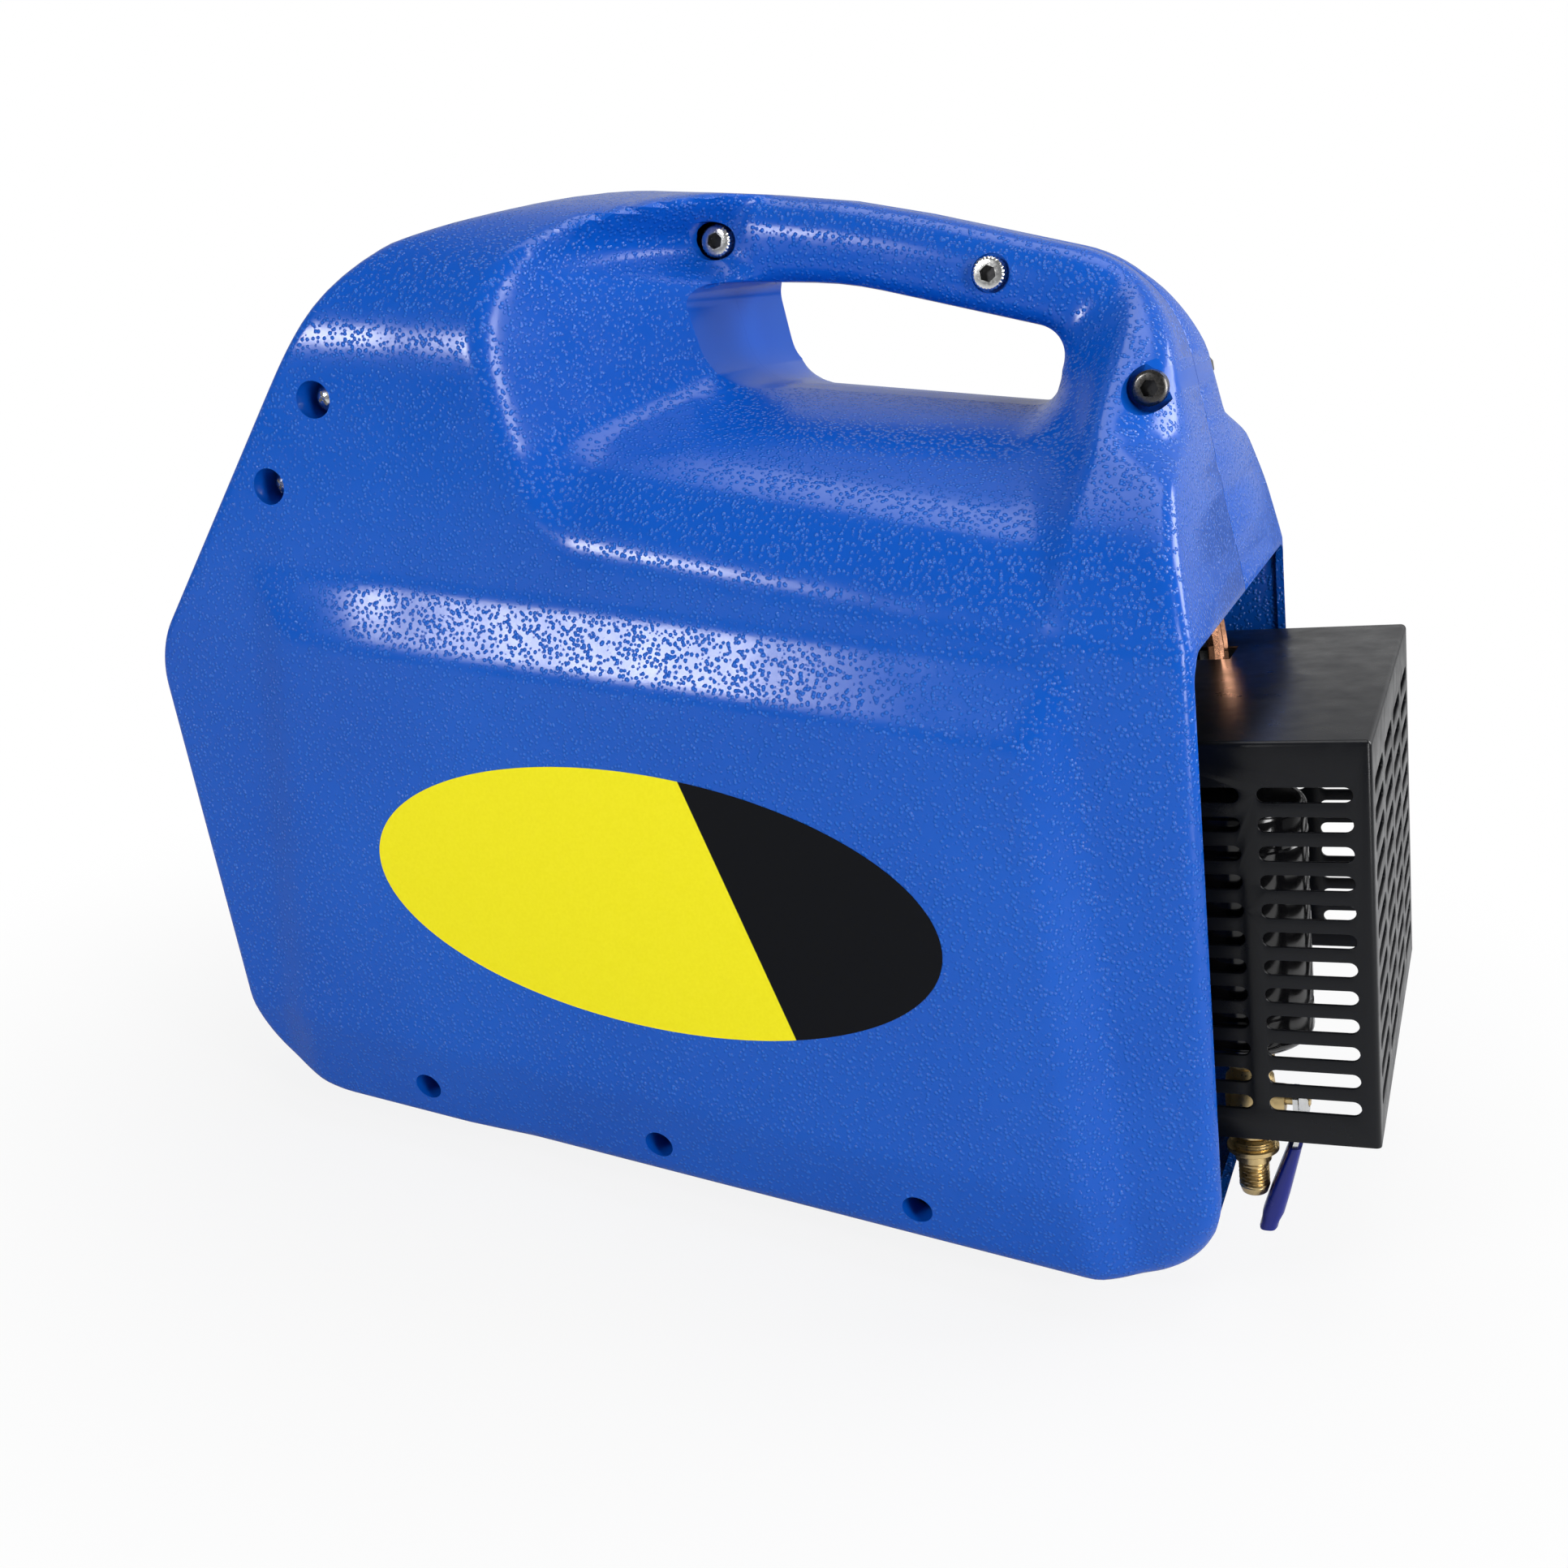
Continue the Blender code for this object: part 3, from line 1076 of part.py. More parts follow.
def build_inlet(rear):
    """Filter canister, union, ball valve with its lever, and the flare port."""
    line = (LINE_Y, 0, LINE_OUT)
    upright = (-math.pi / 2, 0, 0)
    dome, neck, body = DRIER_DOME, DRIER_NECK, DRIER_RADIUS
    tail = DRIER_LOW - neck
    profile = [(0, DRIER_TOP + dome), (neck, DRIER_TOP + dome), (neck, DRIER_TOP + 1 * MM)]
    for end, side, turns in ((DRIER_TOP - dome, 1, range(4, -1, -1)), (DRIER_LOW + dome, -1, range(5))):
        for n in turns:
            angle = math.pi / 2 * n / 4
            profile.append((neck + (body - neck) * math.cos(angle), end + side * dome * math.sin(angle)))
    profile += [(neck, tail), (0, tail)]
    turned("filter_drier", profile, "gloss_black", rear, line, upright, 20)
    top, seat = DRIER_LOW - 1 * MM, VALVE_Z + 1.5 * VALVE_HALF
    bore = (neck + GAP) / math.cos(math.pi / 6)
    profile = [(bore, top), (VALVE_HALF, top), (VALVE_HALF, seat), (0, seat), (0, tail - GAP),
               (bore, tail - GAP), (bore, top)]
    turned("drier_union", profile, "brass", rear, line, upright, 6)
    ball, collar, start = VALVE_HALF, VALVE_COLLAR, PORT_RIM + FLARE_HEX
    profile = [(0, seat - GAP), (collar, seat - GAP), (collar, VALVE_Z + ball), (ball, VALVE_Z + 0.8 * ball),
               (ball, VALVE_Z - 0.8 * ball), (collar, VALVE_Z - ball), (collar, start), (0, start)]
    valve = turned("ball_valve", profile, "brass", rear, line, upright, 20)
    at = (LINE_Y, VALVE_Z, LINE_OUT)
    bonnet = LEVER_OUT - LINE_OUT - GAP - STEM
    items = [dict(radius=BONNET, low=0, high=bonnet, sides=12)]
    boolean(valve, add_cutter("bonnet", cylinders_mesh("bonnet", items), rear, at), "UNION")
    items = [dict(radius=STEM + GAP, low=bonnet - BONNET, high=bonnet + BONNET, sides=12)]
    boolean(valve, add_cutter("stem_bore", cylinders_mesh("stem_bore", items), rear, at))
    rim, spigot = PORT_RIM, PORT_RIM - 5 * MM
    profile = [(0, start - GAP), (0.9 * FLARE_RIM, start - GAP), (FLARE_RIM, rim + 2 * MM), (FLARE_RIM, rim),
               (FLARE_HEX, rim - 1 * MM), (FLARE_HEX, spigot + 1 * MM), (FLARE, spigot),
               (FLARE, PORT_TIP + FLARE_BORE), (FLARE_TIP, PORT_TIP), (FLARE_BORE, PORT_TIP),
               (FLARE_BORE, spigot), (0, spigot)]
    turned("flare_port", profile, "brass", rear, line, upright, 16)
    build_lever(rear, bonnet - BONNET + LINE_OUT)


def cranked(mesh):
    """A mesh that runs down from the stem along -Y, leaned towards the machine below the lever's bend."""
    bm = bmesh.new()
    bm.from_mesh(mesh)
    bmesh.ops.bisect_plane(bm, geom=[*bm.verts, *bm.edges, *bm.faces], plane_co=(0, -LEVER_BEND, 0),
                           plane_no=(0, 1, 0))
    for vert in bm.verts:
        vert.co.z += LEVER_LEAN * min(vert.co.y + LEVER_BEND, 0)
    return mesh_from(bm, mesh.name)


def build_lever(rear, bore_floor):
    """Stem, cranked lever and sleeve, turning about the stem; the origin is on the axis."""
    pivot = (LINE_Y, VALVE_Z, 0)
    stem_top = LEVER_OUT + LEVER_THICK + 4 * MM
    stem = [(0, stem_top), (STEM, stem_top), (STEM, bore_floor + GAP), (0, bore_floor + GAP)]
    turned("valve_stem", stem, "brass", rear, pivot, sides=12)
    half, thick = LEVER_WIDTH / 2, LEVER_THICK / 2
    at = (pivot[0], pivot[1], LEVER_OUT + thick)
    corners = [(-half, -LEVER_LENGTH, STEM), (half, -LEVER_LENGTH, STEM), (half, half, LEVER_EYE),
               (-half, half, LEVER_EYE)]
    bm = bmesh.new()
    face = bm.faces.new([bm.verts.new((x, y, -thick)) for x, y in rounded_outline(corners, math.radians(30))])
    moved = bmesh.ops.extrude_face_region(bm, geom=[face])["geom"]
    bmesh.ops.translate(bm, vec=(0, 0, LEVER_THICK),
                        verts=[item for item in moved if isinstance(item, bmesh.types.BMVert)])
    lever = add_part("valve_lever", cranked(mesh_from(bm, "valve_lever")), "zinc", rear, at)
    items = [dict(radius=STEM + GAP, low=-LEVER_THICK, high=LEVER_THICK, sides=12)]
    boolean(lever, add_cutter("lever_hole", cylinders_mesh("lever_hole", items), rear, at))
    low, high = LEVER_OUT + LEVER_THICK + GAP, stem_top - 0.5 * MM
    bore = (STEM + GAP) / math.cos(math.pi / 6)
    nut = [(bore, high), (2 * STEM, high), (2 * STEM, low), (bore, low), (bore, high)]
    turned("lever_nut", nut, "zinc", rear, pivot, sides=6)
    grip = SLEEVE_WALL + GAP
    start = -LEVER_BEND - STEM
    outer = box_mesh("lever_sleeve", (-half - grip, -LEVER_LENGTH - grip, -thick - grip),
                     (half + grip, start, thick + grip), SLEEVE_WALL, 2, ("+Y",))
    sleeve = add_part("lever_sleeve", cranked(outer), "vinyl_blue", rear, at)
    pocket = box_mesh("sleeve_pocket", (-half - GAP, -LEVER_LENGTH - GAP, -thick - GAP),
                      (half + GAP, start + STEM, thick + GAP))
    boolean(sleeve, add_cutter("sleeve_pocket", cranked(pocket), rear, at))


def build_tubes(rear):
    """Two copper tubes that pass the guard box's notch, turn in over the shroud and end on the condenser."""
    bend = BOX_TOP + TUBE_RISE
    end_depth = -CONDENSER_DEPTH - CONDENSER_THICK / 2
    end_low = CONDENSER_TOP + GAP
    first, second = TUBE_PASS
    top = DRIER_TOP + DRIER_DOME

    def over_the_shroud(across):
        return [(across, BOX_TOP + 4 * MM, TUBE_DEPTH), (across, bend - 4 * MM, TUBE_DEPTH - 3 * MM),
                (across, bend, TUBE_DEPTH - 10 * MM), (across, bend, end_depth + 12 * MM),
                (across, bend - 3 * MM, end_depth + 3 * MM), (across, bend - 9 * MM, end_depth),
                (across, end_low, end_depth)]

    path = [(LINE_Y, top + GAP, LINE_OUT), (LINE_Y, top + 2 * MM, LINE_OUT),
            (LINE_Y + 5 * MM, top + 5.5 * MM, LINE_OUT - 1 * MM),
            (LINE_Y + 22 * MM, top + 6.5 * MM, -4 * MM), (first - 24 * MM, top + 6.5 * MM, -12 * MM),
            (first - 4 * MM, top + 8 * MM, TUBE_DEPTH + 1 * MM)]
    tube("copper_tube_1", smooth_path(path + over_the_shroud(first), 9 * MM), TUBE_RADIUS, "copper", rear)
    wall = -SHROUD_DEPTH + GAP
    path = [(*TUBE_RETURN, wall), (*TUBE_RETURN, wall + 4 * MM),
            (TUBE_RETURN[0] - 4 * MM, TUBE_RETURN[1] + 7 * MM, TUBE_DEPTH),
            (second + 3 * MM, BOX_TOP - 12 * MM, TUBE_DEPTH)]
    tube("copper_tube_2", smooth_path(path + over_the_shroud(second), 9 * MM), TUBE_RADIUS, "copper", rear)


# Front: panels and controls


def gauge(name, frame, x, y, sweep_colour):
    """Pressure gauge: case with a dial recess and a centre pin, lens, and a needle on the pin."""
    back = -PANEL_SETBACK
    face = back + BEZEL
    dial, seat = face - DIAL_DEPTH, face - LENS_SEAT
    well = GAUGE_RADIUS - SHEET
    profile = [(0, seat), (NEEDLE_PIN, seat), (NEEDLE_PIN, dial), (well, dial), (well, seat),
               (GAUGE_RADIUS, seat), (GAUGE_RADIUS, face), (GAUGE_RIM, face), (GAUGE_RIM, back + GAP),
               (GAUGE_RADIUS, back + GAP), (GAUGE_RADIUS, face - GAUGE_DEPTH), (0, face - GAUGE_DEPTH)]
    turned(f"{name}_case", profile, "black_plastic", frame, (x, y, 0), sides=20)
    lens = GAUGE_RADIUS - GAP
    profile = [(0, face - GAP), (lens, face - GAP), (lens, seat + GAP), (0, seat + GAP)]
    turned(f"{name}_lens", profile, "lens_clear", frame, (x, y, 0), sides=20)
    middle = dial + GAP + NEEDLE_THICK / 2
    turns = [math.radians(40 + 280 * n / 8) for n in range(9)]
    outline = [(NEEDLE_HUB * math.cos(angle), NEEDLE_HUB * math.sin(angle)) for angle in turns]
    outline += [(GAUGE_RADIUS * 0.75, -NEEDLE_THICK / 2), (GAUGE_RADIUS * 0.75, NEEDLE_THICK / 2)]
    sheet = flat_curve(f"{name}_needle", NEEDLE_THICK, [outline, circle(NEEDLE_PIN + GAP, sides=10)])
    add_part(f"{name}_needle", sheet, sweep_colour, frame, (x, y, middle), (0, 0, NEEDLE_REST))


def build_upper_panel(upper):
    """The instrument panel behind the slanted face, held by screws through its side flanges."""
    half_x = panel_flange_half()
    half_y = FRONT_OPENING_REACH + PANEL_MARGIN
    front = -PANEL_SETBACK
    past = PANEL_DEPTH / 5
    block = box_mesh("front_panel", (-half_x, -half_y, front - PANEL_DEPTH), (half_x, half_y, front))
    obj = add_part("front_panel", block, "black_powder", upper)
    hollow = box_mesh("panel_hollow", (-half_x + SHEET, -half_y - past, front - PANEL_DEPTH - past),
                      (half_x - SHEET, half_y + past, front - PANEL_SHEET))
    boolean(obj, add_cutter("panel_hollow", hollow, upper))
    low, high = front - 2 * PANEL_SHEET, front + PANEL_SHEET
    items = [dict(radius=GAUGE_RADIUS + GAP, low=low, high=high, at=(x, GAUGE_UP), sides=20)
             for x in (-GAUGE_Y, GAUGE_Y)]
    items.append(dict(radius=STEM_RADIUS + GAP, low=low, high=high, at=(0, KNOB_UP)))
    boolean(obj, add_cutter("panel_holes", cylinders_mesh("panel_holes", items), upper))
    items = [dict(radius=SCREW + GAP, low=-half_x - past, high=half_x + past, at=(x, z), axis="Y", sides=12)
             for x, z in PANEL_SCREWS]
    boolean(obj, add_cutter("panel_screw_holes", cylinders_mesh("panel_screw_holes", items)))
    gauge("low_gauge", upper, -GAUGE_Y, GAUGE_UP, "vinyl_blue")
    gauge("high_gauge", upper, GAUGE_Y, GAUGE_UP, "red")
    back = front - PANEL_SHEET - GAP
    stem_top = front + KNOB_HEIGHT * 0.6
    at = (0, KNOB_UP, 0)
    profile = [(0, stem_top), (STEM_RADIUS, stem_top), (STEM_RADIUS, back), (VALVE_BODY, back),
               (VALVE_BODY, back - VALVE_BODY_LENGTH), (0, back - VALVE_BODY_LENGTH)]
    turned("mode_valve", profile, "brass", upper, at, sides=16)
    low, high = front + GAP, front + KNOB_HEIGHT
    grip, skirt = KNOB_RADIUS * 0.8, low + 3 * MM
    bore = STEM_RADIUS + GAP
    profile = [(0, high), (grip - 1 * MM, high), (grip, high - 1 * MM), (KNOB_RADIUS * 0.84, skirt + 1 * MM),
               (KNOB_RADIUS, skirt), (KNOB_RADIUS, low), (bore, low), (bore, stem_top + GAP),
               (0, stem_top + GAP)]
    knob = turned("mode_knob", profile, "black_plastic", upper, at, sides=20)
    reach = KNOB_RADIUS * 0.88
    flutes = []
    for n in range(KNOB_FLUTES):
        angle = 2 * math.pi * (n + 0.5) / KNOB_FLUTES
        flutes.append(dict(radius=FLUTE, low=skirt + 1 * MM, high=high + FLUTE, sides=8,
                           at=(reach * math.cos(angle), reach * math.sin(angle))))
    boolean(knob, add_cutter("knob_flutes", cylinders_mesh("knob_flutes", flutes), upper, at))


def build_lower_panel(lower):
    """The connection panel: rocker switch, reset button, power inlet and outlet port."""
    half_x = panel_flange_half()
    half_y = FRONT_OPENING_REACH + PANEL_MARGIN
    front = -PANEL_SETBACK
    middle = front - PANEL_SHEET / 2
    sx, sy = SWITCH_SIZE
    reset_hole = RESET_RADIUS + 2 * MM
    outlines = [rectangle(half_x, half_y),
                rectangle(INLET_WIDTH / 2, INLET_HEIGHT / 2, 0, INLET_AT),
                rectangle(sx / 2, sy / 2, 0, SWITCH_AT),
                circle(reset_hole, RESET_AT, 20),
                circle(OUTLET_RADIUS, OUTLET_AT, 20)]
    add_part("lower_panel", flat_curve("lower_panel", PANEL_SHEET, outlines), "black_powder", lower,
             (0, 0, middle))
    build_power_inlet(lower, front)
    build_switch(lower, front)
    build_reset(lower, front, reset_hole)
    back = front - PANEL_SHEET - GAP
    radius, tip, nut = OUTLET_RADIUS - GAP, front + OUTLET_REACH, front + FLARE
    profile = [(0, tip - 12 * MM), (FLARE_BORE, tip - 12 * MM), (FLARE_BORE, tip), (FLARE_TIP, tip),
               (FLARE, tip - FLARE_BORE), (FLARE, nut), (OUTLET_RIM, nut), (OUTLET_RIM, front + GAP),
               (radius, front + GAP), (radius, back - OUTLET_BACK), (0, back - OUTLET_BACK)]
    turned("outlet_port", profile, "brass", lower, (*OUTLET_AT, 0), sides=16)


def build_power_inlet(lower, front):
    half_x, half_y = INLET_WIDTH / 2 - GAP, INLET_HEIGHT / 2 - GAP
    lip, wall, floor = INLET_FLANGE, INLET_WALL, front - INLET_WELL
    at = (*INLET_AT, 0)
    body = box_mesh("power_inlet", (-half_x - lip, -half_y - lip, front + GAP),
                    (half_x + lip, half_y + lip, front + lip), 0.8 * MM)
    obj = add_part("power_inlet", body, "black_plastic", lower, at)
    barrel = box_mesh("inlet_barrel", (-half_x, -half_y, front - INLET_DEPTH),
                      (half_x, half_y, front + lip / 2))
    boolean(obj, add_cutter("inlet_barrel", barrel, lower, at), "UNION")
    well = box_mesh("inlet_well", (-half_x + wall, -half_y + wall, floor),
                    (half_x - wall, half_y - wall, front + 2 * lip))
    boolean(obj, add_cutter("inlet_well", well, lower, at))
    bm = bmesh.new()
    for px, py in BLADE_PINS:
        made = bmesh.ops.create_cube(bm, size=1)["verts"]
        bmesh.ops.scale(bm, vec=BLADE_PIN, verts=made)
        bmesh.ops.translate(bm, vec=(px, py, floor - 1 * MM + BLADE_PIN[2] / 2), verts=made)
    boolean(obj, add_cutter("inlet_pins", mesh_from(bm, "inlet_pins"), lower, at), "UNION")


def build_switch(lower, front):
    """Rocker switch: a frame in the panel and a rocker on a cross pin."""
    sx, sy = SWITCH_SIZE
    at = (*SWITCH_AT, 0)
    half_x, half_y, lip = sx / 2 - GAP, sy / 2 - GAP, 2 * MM
    body = box_mesh("switch_frame", (-half_x - lip, -half_y - lip, front + GAP),
                    (half_x + lip, half_y + lip, front + lip))
    obj = add_part("switch_frame", body, "black_plastic", lower, at)
    barrel = box_mesh("switch_barrel", (-half_x, -half_y, front - SWITCH_DEPTH),
                      (half_x, half_y, front + lip / 2))
    boolean(obj, add_cutter("switch_barrel", barrel, lower, at), "UNION")
    well_x, well_y = half_x - SWITCH_WALL, half_y - SWITCH_WALL
    well = box_mesh("switch_well", (-well_x, -well_y, front - SWITCH_WELL),
                    (well_x, well_y, front + SWITCH_WELL))
    boolean(obj, add_cutter("switch_well", well, lower, at))
    pivot = front - SWITCH_PIVOT
    end = well_y + SWITCH_WALL / 2
    items = [dict(radius=SWITCH_PIN, low=-end, high=end, at=(0, pivot), axis="Y", sides=8)]
    boolean(obj, add_cutter("switch_peg", cylinders_mesh("switch_peg", items), lower, at), "UNION")
    length, width, deep = well_x - 1 * MM, well_y - GAP, SWITCH_PIVOT - 0.5 * MM
    corners = [(-length, deep, 0.6 * MM), (-length * 0.8, -deep, 0.6 * MM), (length * 0.8, -deep, 0.6 * MM),
               (length, deep, 0.6 * MM), (0, deep + 1.5 * MM, 8 * MM)]
    outline = [tuple(p) for p in rounded_outline(corners, math.radians(30))]
    rocker = flat_curve("power_switch", 2 * width, [outline, circle(SWITCH_PIN + GAP, sides=10)])
    add_part("power_switch", rocker, "red", lower, (at[0], at[1], pivot),
             (math.pi / 2, SWITCH_SWING, 0))


def build_reset(lower, front, hole):
    """Reset button of the overload breaker, sliding in its collar."""
    at = (*RESET_AT, 0)
    outer, bore = hole - GAP, RESET_RADIUS + GAP
    top, low = front + RESET_TRAVEL, front - BREAKER_DEPTH
    floor = low + BREAKER_FLOOR
    profile = [(0, floor), (bore, floor), (bore, top), (outer + 2 * MM, top), (outer + 2 * MM, front + GAP),
               (outer, front + GAP), (outer, low), (0, low)]
    turned("breaker_body", profile, "black_plastic", lower, at, sides=20)
    high = top + RESET_TRAVEL + 0.5 * MM
    seat = floor + RESET_TRAVEL + GAP
    button = [(0, high), (RESET_RADIUS - 0.6 * MM, high), (RESET_RADIUS, high - 0.6 * MM),
              (RESET_RADIUS, seat), (0, seat)]
    turned("reset_button", button, "red", lower, at, sides=16)


# Drive train


def build_drive():
    """Compressor block with its two finned heads, the drive motor and the electrical boxes."""
    floor = BASE_FLOOR + BASE_SHEET + GAP
    x0, x1 = BLOCK_X
    block = box_mesh("compressor_block", (x0, -BLOCK_HALF, floor), (x1, BLOCK_HALF, BLOCK_TOP), 3 * MM, 2)
    add_part("compressor_block", block, "aluminium")
    head_low, head_high = SHAFT_Z - HEAD_LOW, SHAFT_Z + HEAD_HIGH
    pitch = (HEAD_REACH - HEAD_MARGIN) / HEAD_FINS
    for name, side in (("cylinder_head_near", -1), ("cylinder_head_far", 1)):
        low, high = sorted((side * (BLOCK_HALF + GAP), side * (BLOCK_HALF + HEAD_REACH)))
        head = box_mesh(name, (x0 + HEAD_MARGIN, low, head_low), (x1 - HEAD_MARGIN, high, head_high))
        obj = add_part(name, head, "aluminium")
        bm = bmesh.new()
        for n in range(HEAD_FINS):
            y = side * (BLOCK_HALF + HEAD_MARGIN + pitch * (n + 0.25))
            for z in (head_low, head_high):
                made = bmesh.ops.create_cube(bm, size=1)["verts"]
                bmesh.ops.scale(bm, vec=(x1 - x0, pitch * 0.5, 2 * HEAD_FIN_DEPTH), verts=made)
                bmesh.ops.translate(bm, vec=((x0 + x1) / 2, y, z), verts=made)
        boolean(obj, add_cutter(f"{name}_fins", mesh_from(bm, "fins")))
    m0, m1 = MOTOR_X
    bm = bmesh.new()
    add_cylinder(bm, MOTOR_RADIUS, m0, m1, (0, SHAFT_Z), "X", 32)
    motor = add_part("drive_motor", mesh_from(bm, "drive_motor"), "steel")
    half = MOTOR_RADIUS * 0.75
    cradle = box_mesh("motor_cradle", (m0 + CRADLE_MARGIN, -half, floor),
                      (m1 - CRADLE_MARGIN, half, SHAFT_Z - MOTOR_RADIUS * 0.4))
    boolean(motor, add_cutter("motor_cradle", cradle), "UNION")
    box = box_mesh("control_box", (x0 - CONTROL_FRONT, -CONTROL_HALF, BLOCK_TOP + GAP),
                   (x1, CONTROL_HALF, BLOCK_TOP + CONTROL_HEIGHT), 2 * MM)
    add_part("control_box", box, "black_plastic")
    (neck, high), (body, low) = PRESSURE_SWITCH
    profile = [(0, high), (neck, high), (neck, low), (body, low), (body, 0), (0, 0)]
    at = ((x0 + x1) / 2, -BLOCK_HALF - HEAD_REACH * 2 / 3, head_high + GAP)
    turned("pressure_switch", profile, "brass", None, at, sides=12)


def make_frames():
    """Frames of the leaning end faces: local Z points out of the face."""
    lean = REAR_LEAN
    x = REAR_FOOT[0] - (REAR_FRAME_Z - REAR_FOOT[1]) * math.tan(lean)
    frames = {"rear": frame_empty("rear_frame", (x, 0, REAR_FRAME_Z), (0, 1, 0),
                                  (-math.sin(lean), 0, math.cos(lean)))}
    nose = Vector((NOSE[0], 0, NOSE[1]))
    ends = {"upper": Vector((SHOULDER[0], 0, SHOULDER[1])),
            "lower": Vector((FRONT_FOOT[0], 0, FRONT_FOOT[1]))}
    bend = math.pi - (ends["upper"] - nose).angle(ends["lower"] - nose)
    start = NOSE[2] * math.tan(bend / 2) + FRONT_OPENING_REACH + PANEL_MARGIN + FRAME_MARGIN
    for name, turn in (("upper", 1), ("lower", -1)):
        along = (ends[name] - nose).normalized()
        frames[name] = frame_empty(f"{name}_frame", nose + along * start, (0, -1, 0), along * turn)
    return frames


clear_scene()
PARTS = make_collection("refrigerant_recovery_machine")
CUTTERS = make_collection("cutters")
FRAMES = make_frames()
build_case(FRAMES)
build_fasteners()
build_base()
build_guard_box(FRAMES["rear"])
build_shroud(FRAMES["rear"])
build_fan(FRAMES["rear"])
build_condenser(FRAMES["rear"])
build_inlet(FRAMES["rear"])
build_tubes(FRAMES["rear"])
build_upper_panel(FRAMES["upper"])
build_lower_panel(FRAMES["lower"])
build_drive()
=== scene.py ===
import json
import math

import bmesh
import bpy
import numpy as np
from mathutils import Matrix, Vector, geometry


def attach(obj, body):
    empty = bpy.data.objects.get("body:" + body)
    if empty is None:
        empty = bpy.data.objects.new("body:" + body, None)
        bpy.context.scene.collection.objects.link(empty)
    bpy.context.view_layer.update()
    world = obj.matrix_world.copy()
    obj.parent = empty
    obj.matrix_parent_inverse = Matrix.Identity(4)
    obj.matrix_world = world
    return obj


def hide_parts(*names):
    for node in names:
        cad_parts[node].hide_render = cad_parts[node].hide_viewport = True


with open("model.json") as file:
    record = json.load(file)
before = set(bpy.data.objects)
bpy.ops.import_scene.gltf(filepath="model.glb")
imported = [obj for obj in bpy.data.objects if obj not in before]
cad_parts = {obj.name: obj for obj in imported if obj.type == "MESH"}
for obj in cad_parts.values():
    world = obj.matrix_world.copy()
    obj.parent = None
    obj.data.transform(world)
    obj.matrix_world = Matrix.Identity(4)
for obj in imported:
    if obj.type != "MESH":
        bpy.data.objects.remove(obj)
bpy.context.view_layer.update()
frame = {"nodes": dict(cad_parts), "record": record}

MM = 0.001
GAP = 0.3 * MM

# Camera of the photograph
CAMERA_AT = (0.235, -0.632, 0.369)
CAMERA_BACK = (0.35252, -0.87878, 0.32168)
CAMERA_UP = (-0.15171, 0.28553, 0.94629)
LENS = 38.88

# Case outline: x, z, corner radius
WALL = 3 * MM
INSET = 0.3 * MM              # the fine skin lies this far inside the case's box, for the label
FOOT_HEIGHT = 12 * MM
NOSE = (-241 * MM, 195 * MM, 38 * MM)
SHOULDER = (-136 * MM, 374.2 * MM, 100 * MM)
CROWN = (1 * MM, 374 * MM, 400 * MM)
REAR_SHOULDER = (122.5 * MM, 355 * MM, 56 * MM)
REAR_BREAK = (161.5 * MM, 244 * MM, 6 * MM)
REAR_FOOT = (199 * MM, FOOT_HEIGHT, 40 * MM)
FRONT_FOOT = (-199 * MM, FOOT_HEIGHT, 48 * MM)
FINE = 3 * MM                 # spacing of the relief's points
FINE_ARC = math.radians(4)

# Relief of each side
BELLY_HALF = 125 * MM
RELIEF = 8 * MM
BELLY_TOP = 233 * MM
BELLY_TOP_BAND = 25 * MM
BELLY_LOW = 49 * MM
LOW_TAPER = 0.25
BELLY_FRONT = -176 * MM
BELLY_FRONT_BAND = 14 * MM
FRONT_SWELL = 4.5 * MM        # the side stands out this much more at the nose
FRONT_SWELL_X = -125 * MM
FRONT_SWELL_BLEND = 55 * MM
BELLY_REAR = 125 * MM
REAR_BAND_Z = 220 * MM
REAR_BAND_LEAN = 0.207
REAR_BAND = 15 * MM
RIM = 15 * MM                 # rounding of the outline's edge above RIM_Z
LOW_RIM = 7 * MM              # and below it
RIM_Z = 285 * MM
RIM_BLEND = 20 * MM
RIM_POWER = 2.2
FRONT_RIM = 3.5 * MM          # and from FRONT_RIM_X forwards
FRONT_RIM_X = -75 * MM
FRONT_RIM_BLEND = 30 * MM
ROOF_START = 305 * MM         # the front housing's sides curve in above this
ROOF_POWER = 2.5
CROWN_START = 352 * MM        # its crown is rounded above this
CROWN_BLEND = 16 * MM
CROWN_REACH = 8 * MM
CROWN_X = -30 * MM            # and forwards of this
CROWN_X_BLEND = 40 * MM
REAR_ROUND_Z = 288 * MM       # above this the column's rear edge is rounded more
REAR_ROUND_BLEND = 16 * MM
REAR_ROUND = 32 * MM
REAR_ROUND_X = 90 * MM
REAR_ROUND_X_BLEND = 40 * MM
REAR_EDGE = 26 * MM           # the column's rear edge is left this much wider than EDGE_HALF
EDGE_HALF = 8 * MM
SCOOP_EDGE_X = -66 * MM
SCOOP_EDGE_Z = 259 * MM
SCOOP_EDGE_BACK = 34 * MM
SCOOP_EDGE_RISE = 89 * MM
CREASE_Z = 253 * MM
CREASE_FALL = 0.065
BAND_SLOPE = 0.63
BAND_HEIGHT = 27 * MM
SHELF_SLOPE = 2.3
WALL_SLOPE = 1.4
WALL_SLOPE_TOP = 1.0
COLUMN_X = 116 * MM
COLUMN_FLARE = 1.5
COLUMN_Z = 247 * MM
COLUMN_BREAK = 286 * MM
COLUMN_SLOPE = 1.12
SOFT_RIDGE = 12 * MM
SOFT_CREASE = 5 * MM
SOFT_VALLEY = 18 * MM
COLUMN_VALLEY = 34 * MM       # widens from VALLEY_START above the crease, over VALLEY_BLEND
VALLEY_START = 4 * MM
VALLEY_BLEND = 36 * MM
